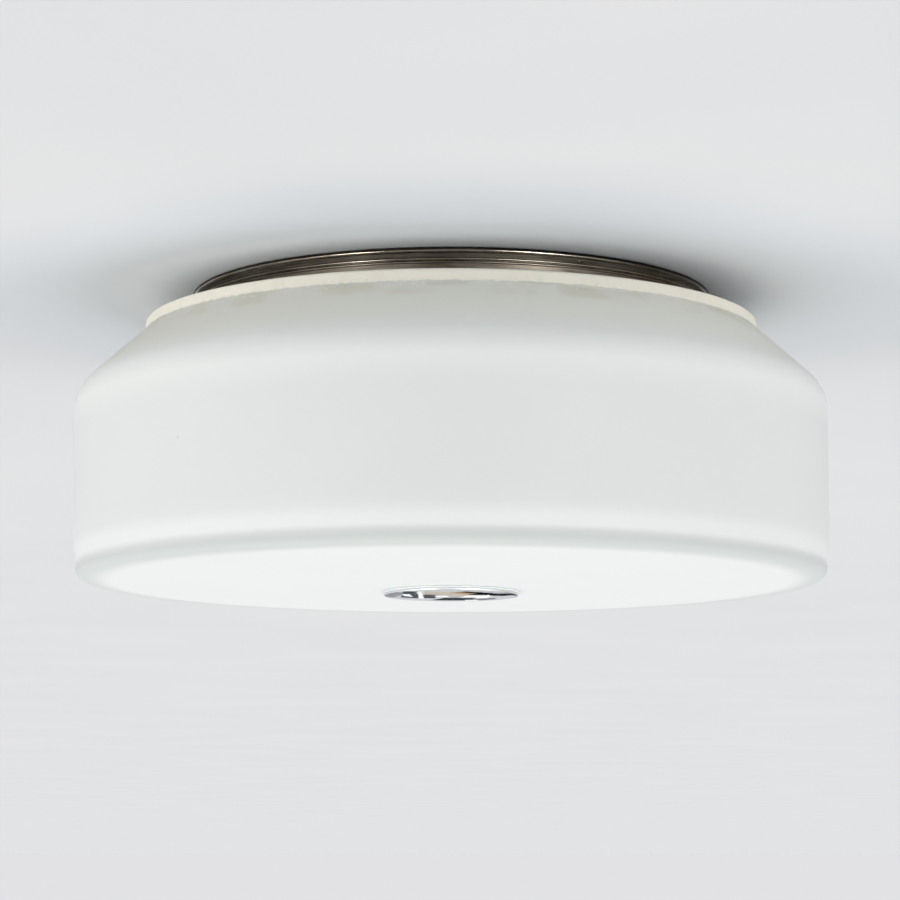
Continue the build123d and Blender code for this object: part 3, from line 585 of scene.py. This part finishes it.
def joined(pieces, name):
    pick(*pieces)
    bpy.ops.object.join()
    pieces[0].name = pieces[0].data.name = name
    return pieces[0]


# Glass shade: neck, cone, shoulder, upright wall turned in at its foot, cove, foot bead and sagging floor
shade = {
    "radius": 175.0, "wall": 4.5, "neckTop": 142.9, "neckFoot": 143.3, "top": -13.9, "neckHeight": 5.2,
    "arris": 0.5, "cone": 42.2, "shoulder": 17.6, "foot": -133.9, "bead": 4.8, "beadInset": 1.2,
    "cove": 5.0, "flank": 14.0, "turnIn": 12.0, "sag": 4.3, "seat": 34.0, "hole": 8.0, "innerCorner": 8.0,
    # rings on the upright wall, above its foot, and the floor's last points before the bead
    "wallRings": (18, 36, 44), "floorEnd": ((-14.0, -0.62), (-8.0, -0.30), (-3.0, 0.06)), "seatRing": 20.0,
    "beadStart": -72, "ease": 0.25, "neckRound": 0.6, "innerSeat": (60, 0.9), "innerSag": 0.4,
    "floorRounds": (90.0, 30.0), "steps": 256,
}


def makeShade(s):
    rise = tan(radians(s["cone"]))
    lean = radians(s["turnIn"])
    neckFoot = s["top"] - s["neckHeight"]
    shoulder = neckFoot - (s["radius"] - s["neckFoot"]) * rise
    bead = Vector((s["radius"] - s["beadInset"] - s["bead"], s["foot"] + s["bead"]))
    flank = Vector((cos(radians(s["flank"])), sin(radians(s["flank"]))))
    cove = bead + flank * (s["bead"] + s["cove"])
    wallEnd = cove + s["cove"] * Vector((-cos(lean), sin(lean)))
    wallStart = wallEnd.y + (s["radius"] - wallEnd.x) / tan(radians(s["turnIn"] / 2))
    bendRadius = (wallStart - wallEnd.y) / sin(lean)
    base = s["foot"] - s["sag"]
    slope = 2 * atan(s["sag"] / (bead.x - s["seat"]))
    floorRadius = (bead.x - s["seat"]) / sin(slope)
    swing = slope * 180 / pi
    outer = [(s["hole"], base), (s["seatRing"], base), (s["seat"], base)]
    outer += arc((s["seat"], base + floorRadius), floorRadius, -90, -90 + swing, 14)[1:]
    outer = outer[:-3] + [(bead.x + inward, s["foot"] + up) for inward, up in s["floorEnd"]]
    outer += arc(bead, s["bead"], s["beadStart"], s["flank"], 12)
    outer += arc(cove, s["cove"], 180 + s["flank"], 180 - s["turnIn"], 8)[1:]
    outer += arc((s["radius"] - bendRadius, wallStart), bendRadius, -s["turnIn"], 0, 8)[1:]
    *rings, highest = [(s["radius"], wallStart + up) for up in s["wallRings"]]
    outer += rings
    upper = [
        highest, (s["radius"], shoulder), (s["neckFoot"], neckFoot), (s["neckTop"], s["top"] - s["arris"]),
        (s["neckTop"] - s["arris"], s["top"]), (s["neckTop"] - s["wall"] + s["arris"], s["top"]),
    ]
    outer += rounded(upper, (s["shoulder"], s["neckRound"], s["ease"], s["ease"]), 12)
    innerRadius = s["radius"] - s["wall"]
    innerNeck = s["neckTop"] - s["wall"]
    innerShoulder = shoulder + s["wall"] * (rise - 1 / cos(radians(s["cone"])))
    innerFoot = innerShoulder + (innerRadius - innerNeck) * rise
    innerBase = base + s["wall"]
    out, up = s["innerSeat"]
    inner = [
        (innerNeck, s["top"] - s["arris"]), (innerNeck, innerFoot), (innerRadius, innerShoulder),
        (innerRadius, innerBase + s["sag"] - s["innerSag"]), (s["seat"] + out, innerBase + up),
        (s["seat"], innerBase), (s["hole"], innerBase),
    ]
    rounds = (s["neckRound"], s["shoulder"] - s["wall"], s["innerCorner"], *s["floorRounds"])
    outline = outer + rounded(inner, rounds, 6)
    return turn("glassShade", outline + [outline[0]], s["steps"])


glass = makeShade(shade)
finishPiece(glass, opal, "shade")
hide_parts("glass_shade")
print("glass shade made,", len(glass.data.vertices), "points")


# Cap: a domed disc with a rounded edge, and the threaded boss that passes up through the glass
cap = {
    "radius": 31.4, "top": -139.2, "edge": 1.0, "dome": 1.3, "round": 0.35, "floor": 1.6, "boss": 7.0,
    "height": 9.0, "bore": 5.08, "domeShare": 0.985, "bossRounds": (0.5, 0.4, 0.4, 0.2), "steps": 160,
}


def makeCap(c):
    base = c["top"] - c["edge"] - c["dome"]
    curve = (c["radius"] ** 2 + c["dome"] ** 2) / (2 * c["dome"])
    swing = asin(c["radius"] / curve) * 180 / pi
    outline = arc((0, base + curve), curve, -90, -90 + swing * c["domeShare"], 24)
    rim = [
        outline[-1], (c["radius"], c["top"] - c["edge"]), (c["radius"], c["top"]), (c["boss"], c["top"]),
        (c["boss"], c["top"] + c["height"]), (c["bore"], c["top"] + c["height"]),
        (c["bore"], base + c["floor"]), (0, base + c["floor"]),
    ]
    outline += rounded(rim, (c["round"], c["round"], *c["bossRounds"]), 6)[1:]
    return turn("capDisc", outline, c["steps"])


disc = makeCap(cap)
finishPiece(disc, chrome, "cap")
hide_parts("cap")
print("cap made")


# Gasket: a thin white ring between the glass and the cap, round at its outer edge
gasket = {
    "bore": 8.0, "radius": 31.2, "top": -138.2, "thick": 1.0, "seam": 4, "boreRound": 0.2, "round": 0.45,
    "steps": 128,
}


def makeGasket(g):
    base = g["top"] - g["thick"]
    corners = [
        (g["bore"] + g["seam"], base), (g["bore"], base), (g["bore"], g["top"]), (g["radius"], g["top"]),
        (g["radius"], base), (g["bore"] + g["seam"], base),
    ]
    outline = rounded(corners, (g["boreRound"], g["boreRound"], g["round"], g["round"]), 6)
    return turn("gasketRing", outline, g["steps"])


ring = makeGasket(gasket)
finishPiece(ring, silicone, "gasket")
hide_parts("cap_gasket")
print("gasket made")


# Canopy: rolled rim, stepped wall with two ridges, rounded corner, and a floor with its holes
canopy = {
    "rim": 121.5, "bead": 1.2, "gap": 0.1, "walls": (120.6, 120.2, 119.8, 119.4), "ridges": (-5.1, -6.5),
    "crest": 0.45, "ridgeWidth": 1.3, "base": -13.1, "sheet": 0.8, "corner": 2.6, "innerRim": 0.6,
    "rodHole": 5.0, "steps": 288,
    # each hole's place and radius
    "holes": (
        (0, 0, 5.2), (-49.5, 40, 2.2), (-61.5, 40, 2.2), (49.5, -40, 2.2), (61.5, -40, 2.2), (92, 8, 2.2),
        (75, 44, 1.7), (85, 44, 1.7), (60, 74, 6.5),
    ),
}


def ridge(low, high, level, width, crest, count=8):
    # a raised ring between two walls, as an arc through its crest
    foot, top = Vector((low, level - width / 2)), Vector((high, level + width / 2))
    middle = (foot + top) / 2
    rise = high + crest - middle.x
    half = (top - foot).length / 2
    radius = (half ** 2 + rise ** 2) / (2 * rise)
    swing = asin(min(half / radius, 1.0))
    out = Vector((top.y - foot.y, foot.x - top.x)).normalized()
    centre = middle - out * (radius - rise)
    lean = atan2(out.y, out.x)
    return [
        (centre.x + radius * cos(lean + swing * (2 * i / count - 1)),
         centre.y + radius * sin(lean + swing * (2 * i / count - 1)))
        for i in range(count + 1)
    ]


def makeCanopy(c):
    upper, middle, lower, foot = c["walls"]
    high, low = c["ridges"]
    rimCentre = (c["rim"] - c["bead"], -c["gap"] - c["bead"])
    start = -asin(sqrt(c["bead"] ** 2 - (upper - rimCentre[0]) ** 2) / c["bead"]) * 180 / pi
    half = c["ridgeWidth"] / 2
    outline = rounded([(c["rodHole"], c["base"]), (foot, c["base"]), (lower, low - half)], (c["corner"],), 10)
    outline += ridge(lower, middle, low, c["ridgeWidth"], c["crest"])[1:]
    outline += ridge(middle, upper, high, c["ridgeWidth"], c["crest"])
    outline += arc(rimCentre, c["bead"], start, 180, 18)
    floor = c["base"] + c["sheet"]
    inner = [outline[-1], (lower - c["sheet"], low), (foot - c["sheet"], floor), (c["rodHole"], floor)]
    outline += rounded(inner, (c["innerRim"], c["corner"] - c["sheet"]), 6)[1:]
    piece = turn("canopyShell", outline + [outline[0]], c["steps"])
    cutters = []
    for x, y, radius in c["holes"]:
        bpy.ops.object.select_all(action="DESELECT")
        bpy.ops.mesh.primitive_cylinder_add(
            vertices=40, radius=radius * mm, depth=0.01, location=(x * mm, y * mm, c["base"] * mm)
        )
        settle()
        cutters.append(bpy.context.object)
    cutter = joined(cutters, "canopyCutter")
    cut = piece.modifiers.new("holes", "BOOLEAN")
    cut.object = cutter
    cut.operation = "DIFFERENCE"
    cut.solver = "EXACT"
    pick(piece)
    bpy.ops.object.modifier_apply(modifier="holes")
    bpy.data.objects.remove(cutter)
    bpy.ops.object.mode_set(mode="EDIT")
    bpy.ops.mesh.select_all(action="SELECT")
    bpy.ops.mesh.remove_doubles(threshold=0.004 * mm)
    bpy.ops.object.mode_set(mode="OBJECT")
    return piece


shell = makeCanopy(canopy)
finishPiece(shell, nickel, "fixture", 50)
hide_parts("canopy")
print("canopy made,", len(shell.data.vertices), "points")


# Hexagon nuts: a chamfered, threaded ring cut by six planes; across flats, height, bore, pitch and places
nuts = {
    "rodNuts": ("rod_nuts", 14.0, 3.0, 5.05, 1.0, ((0, 0, -4.0), (0, 0, -9.0))),
    "canopyNut": ("canopy_nut", 14.0, 4.0, 5.05, 1.0, ((0, 0, -18.9),)),
    "bracketNuts": ("bracket_nuts", 7.0, 3.2, 2.05, 0.7, (
        (-49.5, 40, -12.3), (-61.5, 40, -12.3), (49.5, -40, -12.3), (61.5, -40, -12.3),
    )),
    "blockNuts": ("block_nuts", 5.5, 2.4, 1.55, 0.5, ((75, 44, -12.3), (85, 44, -12.3))),
    "earthNut": ("earth_nut", 7.0, 3.2, 2.05, 0.7, ((92, 8, -12.3),)),
}
nutShape = {"faceShare": 0.96, "chamferRise": 0.58, "leadShare": 0.5, "threadShare": 0.55}


def makeNut(name, flats, height, bore, pitch, n):
    corner = flats / sqrt(3)
    face = flats / 2 * n["faceShare"]
    cut = (corner - face) * n["chamferRise"]
    lead = n["leadShare"] * pitch
    outline = [(bore + lead, 0), (face, 0), (corner, cut), (corner, height - cut)]
    outline += [(face, height), (bore + lead, height), (bore, height - lead)]
    for i in range(int(height / pitch) - 1):
        outline.append((bore + n["threadShare"] * pitch, height - (i + 1.0) * pitch))
        outline.append((bore, height - (i + 1.5) * pitch))
    piece = turn(name, outline + [outline[0]], 48)
    bpy.ops.object.mode_set(mode="EDIT")
    for i in range(6):
        way = radians(30 + 60 * i)
        side = Vector((cos(way), sin(way), 0))
        bpy.ops.mesh.select_all(action="SELECT")
        bpy.ops.mesh.bisect(plane_co=side * flats / 2 * mm, plane_no=side, use_fill=True, clear_outer=True)
    bpy.ops.mesh.select_all(action="SELECT")
    bpy.ops.mesh.normals_make_consistent(inside=False)
    bpy.ops.object.mode_set(mode="OBJECT")
    return piece


def placed(piece, places):
    # one copy at each place, joined into one piece with its origin at the frame's
    copies = []
    for place in places:
        pick(piece)
        bpy.ops.object.duplicate()
        bpy.ops.transform.translate(value=Vector(place) * mm)
        copies.append(bpy.context.object)
    name = piece.name
    bpy.data.objects.remove(piece)
    pick(*copies)
    if len(copies) > 1:
        bpy.ops.object.join()
    settle()
    whole = bpy.context.object
    whole.name = whole.data.name = name
    return whole


for name, (node, flats, height, bore, pitch, places) in nuts.items():
    piece = placed(makeNut(name, flats, height, bore, pitch, nutShape), places)
    material, slot = (yellowMetal, "brass") if name == "earthNut" else (zinc, "zinc_steel")
    finishPiece(piece, material, "fixture", 30)
    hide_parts(node)
print("nuts made")


# Bulbs, each built along the X axis with its tip at the left, then carried to its holder
bulb = {
    "back": 76.0, "aside": 40.0, "drop": 64.0, "tip": 19.8, "length": 106.0, "globe": 30.0, "wall": 0.8,
    "stem": 12.2, "neck": 14.5, "neckStart": 48.4, "neckEnd": 50.0, "stemStart": 39.7, "stemRound": 1.2,
    "baseStart": 23.7, "baseEnd": 45.7, "baseHole": 3.0, "cone": 11.0, "coneRise": 1.8, "coreGap": 0.02,
    "skirt": (4.6, 3.9), "skirtRound": (0.3, 0.4), "stemGap": 0.03, "innerEnd": (6.4, 6.8), "innerCone": 0.4,
    "innerRise": (1.6, 0.8), "root": 12.3, "crest": 13.2, "crestGap": 0.05, "threadRise": 1.6, "pitch": 3.63,
    "turns": 4,
}


def makeEnvelope(name, b):
    # outer skin from the stem over the globe to its pole, and the inner skin back
    centre = b["tip"] + b["length"] - b["globe"]
    reach = centre - b["neckEnd"]
    blend = (reach ** 2 + b["neck"] ** 2 - b["globe"] ** 2) / (2 * (b["globe"] - b["neck"]))
    hub = (b["neck"] + blend, b["neckEnd"])
    join = atan2(centre - hub[1], -hub[0]) * 180 / pi
    skins = []
    for inset in (0, b["wall"]):
        stem = [
            (b["stem"] - inset, b["stemStart"]), (b["stem"] - inset, b["baseEnd"]),
            (b["neck"] - inset, b["neckStart"]), (b["neck"] - inset, b["neckEnd"]),
        ]
        skin = rounded(stem, (b["stemRound"], b["stemRound"]), 4)
        skin += arc(hub, blend + inset, 180, join, 14)[1:]
        skin += arc((0, centre), b["globe"] - inset, join - 180, 90, 30)[1:]
        skins.append(skin)
    outline = skins[0] + skins[1][::-1]
    return turn(name, outline + [outline[0]], 96, **lying)


def makeThread(name, low, high, pitch, start, turns, steps=48, waves=12, offset=-1.0):
    # a rounded helical thread: one wave along the X axis, swept round it and then thickened
    swing = (high - low) / 2
    merge = 0.01 * mm
    spots = []
    for i in range(waves + 1):
        r = low + swing * (1 - cos(2 * pi * i / waves))
        spots.append(Vector((start + pitch * i / waves, 0, r)) * mm)
    piece = startLine(name, spots)
    bpy.ops.object.mode_set(mode="OBJECT")
    helix = piece.modifiers.new("helix", "SCREW")
    helix.axis = "X"
    helix.steps = helix.render_steps = steps
    helix.screw_offset = pitch * mm
    helix.iterations = turns
    helix.use_merge_vertices = True
    helix.merge_threshold = merge
    bpy.ops.object.modifier_apply(modifier="helix")
    bpy.ops.object.mode_set(mode="EDIT")
    bpy.ops.mesh.select_all(action="SELECT")
    bpy.ops.mesh.remove_doubles(threshold=merge)
    bpy.ops.mesh.normals_make_consistent(inside=False)
    bpy.ops.object.mode_set(mode="OBJECT")
    thick = piece.modifiers.new("thick", "SOLIDIFY")
    thick.thickness = 0.3 * mm
    thick.offset = offset
    bpy.ops.object.modifier_apply(modifier="thick")
    return piece


def makeBase(name, b):
    start, end = b["baseStart"], b["baseEnd"]
    core = b["root"] - b["coreGap"]
    bore = b["stem"] + b["stemGap"]
    inside = b["cone"] - b["innerCone"]
    outline = [
        (b["baseHole"], start), (b["cone"], start), (core, start + b["coneRise"]),
        (core, end - b["skirt"][0]), (b["crest"], end - b["skirt"][1]),
        (b["crest"], end - b["skirtRound"][1]),
        (b["crest"] - b["skirtRound"][0], end), (bore, end), (bore, end - b["innerEnd"][0]),
        (inside, end - b["innerEnd"][1]), (inside, start + b["innerRise"][0]),
        (b["baseHole"], start + b["innerRise"][1]),
    ]
    sleeve = turn(name + "Sleeve", outline + [outline[0]], 72, **lying)
    crest = b["crest"] - b["crestGap"]
    helix = makeThread(name + "Thread", b["root"], crest, b["pitch"], start + b["threadRise"], b["turns"])
    return joined([sleeve, helix], name)


def carry(piece, side, b):
    # from the X axis to the lamp's own axis: turned half round for the second lamp
    pick(piece)
    if side < 0:
        bpy.ops.transform.rotate(value=pi, orient_axis="Z", center_override=(0, 0, 0))
    bpy.ops.transform.translate(value=Vector((-side * b["back"], side * b["aside"], -b["drop"])) * mm)
    settle()


for side, letter in ((1, "a"), (-1, "b")):
    for make, kind, node, material, slot in (
        (makeEnvelope, "bulbGlass", "bulb_glass_", frosted, "frosted_glass"),
        (makeBase, "bulbBase", "bulb_base_", bulbShell, "bulb_metal"),
    ):
        piece = make(kind + letter.upper(), bulb)
        carry(piece, side, bulb)
        finishPiece(piece, material, "bulb_" + letter)
        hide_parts(node + letter)
print("bulbs made")


# Screw shells: formed brass sheet, a little wider than the bulbs' thread, between a floor and a collar
socket = {
    "floor": 17.0, "floorSheet": 0.5, "hole": 9.0, "end": 41.0, "collar": 1.8, "inner": 13.5, "outer": 14.0,
    "sheet": 0.3, "threadStart": 18.3, "overlap": 0.6, "pitch": 3.63, "turns": 5,
}


def makeScrewShell(name, c):
    start, end, outer = c["floor"], c["end"], c["outer"]
    skin, join, floor = outer - c["sheet"], c["threadStart"] + c["overlap"], start + c["floorSheet"]
    helix = makeThread(name, c["inner"], outer, c["pitch"], c["threadStart"], c["turns"], 64, 12, 0.0)
    base = [
        (c["hole"], start), (outer, start), (outer, join), (skin, join), (skin, floor), (c["hole"], floor),
    ]
    collar = [(skin, end - c["collar"]), (outer, end - c["collar"]), (outer, end), (skin, end)]
    rings = [turn(name + "Ring", ring + [ring[0]], 72, **lying) for ring in (base, collar)]
    return joined([helix, *rings], name)


for side, letter in ((1, "a"), (-1, "b")):
    piece = makeScrewShell("screwShell" + letter.upper(), socket)
    carry(piece, side, bulb)
    finishPiece(piece, yellowMetal, "fixture")
    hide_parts("screw_shell_" + letter)
print("screw shells made")


# Centre rod: a tube with a rolled thread all the way down
rod = {
    "radius": 5.0, "root": 4.45, "rootGap": 0.02, "bore": 3.6, "top": -0.5, "foot": -138.4, "chamfer": 0.5,
    "chamferInset": 0.2, "pitch": 1.0,
}


def makeRod(r):
    core, top, foot, chamfer = r["root"] + r["rootGap"], r["top"], r["foot"], r["chamfer"]
    tip = core - r["chamferInset"]
    outline = [
        (r["bore"], top), (tip, top), (core, top - chamfer), (core, foot + chamfer), (tip, foot),
        (r["bore"], foot),
    ]
    tube = turn("rodTube", outline + [outline[0]], 48)
    turns = int((top - foot - 2 * chamfer) / r["pitch"]) - 1
    helix = makeThread("rodThread", r["root"], r["radius"], r["pitch"], chamfer - top, turns, 24, 6)
    pick(helix)
    bpy.ops.transform.rotate(value=-pi / 2, orient_axis="Y", center_override=(0, 0, 0))
    settle()
    return joined([tube, helix], "threadedRod")


stem = makeRod(rod)
finishPiece(stem, thread, "fixture", 35)
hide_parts("centre_rod")
print("rod made")


# Nodes that keep their own shape, most of them with a small bevel, its width in millimetres
carried = {
    "reflector_plate": paint, "mounting_bar": zinc, "canopy_washer": zinc, "bracket_screws": zinc,
    "holder_screws": zinc, "terminal_screws": yellowMetal, "terminal_block": ivory,
    "block_inserts": yellowMetal, "clamp_screws": zinc, "block_screws": zinc, "earth_ring": tin,
    "earth_screw": yellowMetal, "grommet": blackRubber, "live_leads": brownCover, "neutral_leads": blueCover,
    "earth_lead": earthStripes, "lead_clip": nylon, "lampholder_a": ceramic, "lampholder_b": ceramic,
    "contact_tongue_a": yellowMetal, "contact_tongue_b": yellowMetal, "lampholder_bracket_a": zinc,
    "lampholder_bracket_b": zinc, "bulb_insulator_a": vitrite, "bulb_insulator_b": vitrite,
    "bulb_contact_a": tin, "bulb_contact_b": tin,
}
softened = {
    "reflector_plate": 0.15, "mounting_bar": 0.3, "canopy_washer": 0.2, "terminal_block": 0.35,
    "grommet": 0.25, "lead_clip": 0.25, "lampholder_a": 0.5, "lampholder_b": 0.5,
    "lampholder_bracket_a": 0.25, "lampholder_bracket_b": 0.25, "bracket_screws": 0.12, "holder_screws": 0.12,
    "block_screws": 0.12, "clamp_screws": 0.1, "terminal_screws": 0.1, "earth_ring": 0.12,
    "contact_tongue_a": 0.12, "contact_tongue_b": 0.12,
}
for name, material in carried.items():
    for holder in nodes[name].material_slots:
        holder.material = material
    if name in softened:
        weld = nodes[name].modifiers.new("weld", "WELD")
        weld.merge_threshold = 0.005 * mm
        soft = nodes[name].modifiers.new("soft", "BEVEL")
        soft.width = softened[name] * mm
        soft.segments = 2
        soft.limit_method = "ANGLE"
        soft.angle_limit = radians(40)
        soft.harden_normals = True
print("carried-over nodes finished,", len(carried))


# Stage: a ceiling that is open above the canopy, in metres
ceiling = {"hole": 0.117, "reach": (0.4, 2.0, 12.0, 60.0), "level": 0.15 * mm}


def makeCeiling(c):
    middle = (0, 0, c["level"])
    bpy.ops.object.select_all(action="DESELECT")
    bpy.ops.mesh.primitive_circle_add(vertices=96, radius=c["hole"], location=middle, rotation=(pi, 0, 0))
    settle()
    piece = bpy.context.object
    piece.name = piece.data.name = "ceiling"
    bpy.ops.object.mode_set(mode="EDIT")
    bpy.ops.mesh.select_all(action="SELECT")
    size = c["hole"]
    for reach in c["reach"]:
        bpy.ops.mesh.extrude_edges_move()
        bpy.ops.transform.resize(value=(reach / size, reach / size, 1), center_override=middle)
        size = reach
    bpy.ops.object.mode_set(mode="OBJECT")
    if piece.data.polygons[0].normal.z > 0:
        bpy.ops.object.mode_set(mode="EDIT")
        bpy.ops.mesh.select_all(action="SELECT")
        bpy.ops.mesh.flip_normals()
        bpy.ops.object.mode_set(mode="OBJECT")
    piece.data.materials.append(plasterCeiling())


makeCeiling(ceiling)

# Cards that only metal mirrors: a room's dark and light parts, far behind the lamp and beside it
cardTones = {
    "black": ((2, 2, 3), (18, 18, 20), 1.0),
    "shade": ((52, 55, 60), (84, 86, 92), 1.0),
    "slate": ((58, 62, 70), (108, 112, 118), 1.0),
    "grey": ((138, 142, 148), (176, 178, 182), 1.0),
    "beige": ((214, 206, 192), (202, 194, 178), 1.0),
    "tan": ((206, 164, 122), (190, 148, 108), 1.0),
    "gold": ((226, 196, 140), (206, 172, 112), 0.9),
    "white": ((255, 255, 255), (250, 250, 252), 1.3),
    "window": ((255, 255, 255), (250, 250, 252), 30.0),
    "pale": ((216, 217, 220), (202, 203, 206), 1.0),
}
glows = {
    tone: cardGlow("card" + tone.capitalize(), tint(*first), tint(*second), strength)
    for tone, (first, second, strength) in cardTones.items()
}
# tone, place in metres, width and height, then lean and swing of the upright card
cards = {
    "cardWedge": ("black", (0.088, 2.42, -0.51), (0.19, 0.052), (-1.22, 0)),
    "cardWedgeTip": ("black", (0.048, 2.42, -0.645), (0.12, 0.032), (-1.1, 0)),
    "cardWedgeEdge": ("tan", (0.040, 2.44, -0.585), (0.20, 0.018), (-1.2, 0)),
    "cardWedgeSpot": ("white", (0.066, 2.41, -0.475), (0.02, 0.06), (0, 0)),
    "cardDarkBand": ("shade", (0.006, 2.43, -0.30), (0.062, 0.22), (-0.10, 0)),
    "cardBandEnd": ("slate", (0.050, 2.44, -0.25), (0.05, 0.10), (0, 0)),
    "cardBandSpot": ("white", (0.032, 2.41, -0.19), (0.02, 0.08), (0, 0)),
    "cardLeftDark": ("slate", (-0.082, 2.43, -0.50), (0.032, 0.36), (0.05, 0)),
    "cardLeftGap": ("white", (-0.086, 2.42, -0.47), (0.015, 0.11), (0.1, 0)),
    "cardLeftStreak": ("white", (-0.061, 2.42, -0.50), (0.009, 0.34), (0.05, 0)),
    "cardLeftGrey": ("slate", (-0.043, 2.44, -0.46), (0.028, 0.20), (0, 0)),
    "cardLeftTip": ("grey", (-0.113, 2.44, -0.44), (0.028, 0.32), (0, 0)),
    "cardRightTip": ("grey", (0.124, 2.44, -0.44), (0.022, 0.30), (0, 0)),
    "cardBeige": ("beige", (-0.004, 2.46, -0.60), (0.11, 0.21), (0, 0)),
    "cardWhiteUnder": ("white", (0.048, 2.45, -0.44), (0.06, 0.13), (-0.2, 0)),
    "cardWhiteSpot": ("white", (-0.018, 2.41, -0.475), (0.024, 0.06), (0, 0)),
    "cardPale": ("pale", (0.0, 2.50, -0.40), (1.0, 1.2), (0, 0)),
    "windowLeft": ("window", (-1.62, -1.92, -0.50), (0.42, 0.5), (0, -0.70)),
    "wallLeft": ("pale", (-2.60, 0.10, -0.60), (2.4, 1.0), (0, -1.6)),
    "windowRight": ("window", (1.41, -2.05, -0.50), (0.75, 0.5), (0, 0.6)),
    "wallRight": ("gold", (2.40, 0.30, -0.60), (1.6, 0.9), (0, 1.7)),
}
for name, (tone, place, size, turned) in cards.items():
    bpy.ops.object.select_all(action="DESELECT")
    bpy.ops.mesh.primitive_plane_add(size=1, location=place, rotation=(pi / 2, *turned))
    card = bpy.context.object
    card.name = card.data.name = name
    bpy.ops.transform.resize(value=(*size, 1), orient_type="LOCAL")
    card.data.materials.append(glows[tone])
    card.visible_camera = card.visible_diffuse = card.visible_shadow = card.visible_transmission = False

# Light: a soft sun from each side and a broad one from straight below, in an even world.
# Each has where it shines from, its strength and its spread in degrees.
sunTint = (1.05, 1.0, 0.94)
suns = {
    "sunLeft": ((-0.87, -0.30, -0.38), 0.35, 60),
    "sunRight": ((0.76, -0.38, -0.54), 0.265, 50),
    "sunBelow": ((0.0, 0.0, -1.0), 0.26, 90),
}
for name, (source, share, spread) in suns.items():
    bpy.ops.object.light_add(type="SUN", rotation=Vector(source).to_track_quat("Z", "Y").to_euler())
    sun = bpy.context.object
    sun.name = name
    sun.data.energy = share * pi
    sun.data.color = sunTint
    sun.data.angle = radians(spread)

air = {
    "light": (0.922, 0.997, 1.078, 1), "strength": 0.56, "shown": tint(226, 226, 228),
    "floor": tint(122, 124, 128), "floorFrom": (-0.97, -0.5),
}


def studioAir(a):
    # even light for the object; the camera sees a pale tone, and metal mirrors it over a darker floor
    world = bpy.data.worlds.new("studioAir")
    t = Tree(world)
    path = t.node("LightPath").socket.node.outputs
    kinds = ("Is Camera Ray", "Is Glossy Ray", "Is Transmission Ray")
    seen, glossy, through = (Wire(t, path[kind]) for kind in kinds)
    seen = seen.maths("MAXIMUM", glossy).maths("MAXIMUM", through)
    even = t.node("Background", {}, {"Color": a["light"], "Strength": a["strength"]})
    pale = t.node("Background", {}, {"Color": a["shown"]})
    floor = t.node("Background", {}, {"Color": a["floor"]})
    way = t.node("SeparateXYZ", {}, {0: t.node("TexCoord", output="Generated")}, 2)
    steep = glossy * (1 - way.rise(*a["floorFrom"]))
    mirrored = t.node("MixShader", {}, {0: steep, 1: pale, 2: floor})
    sky = t.node("MixShader", {}, {0: seen, 1: even, 2: mirrored})
    out = t.tree.nodes.new("ShaderNodeOutputWorld")
    t.tree.links.new(sky.socket, out.inputs["Surface"])
    bpy.context.scene.world = world


studioAir(air)
bpy.context.scene.view_settings.view_transform = "Standard"

# Camera: a little below the ceiling, looking slightly up
view = {
    "place": (0, -1.391, -0.2654), "up": 0.1383, "aside": 0.0004, "lens": 120, "sensor": 36, "farthest": 100,
}
bpy.ops.object.camera_add(location=view["place"], rotation=(pi / 2 + view["up"], 0, view["aside"]))
camera = bpy.context.object
camera.data.lens = view["lens"]
camera.data.sensor_width = view["sensor"]
camera.data.clip_end = view["farthest"]
bpy.context.scene.camera = camera
print("stage, light and camera set")
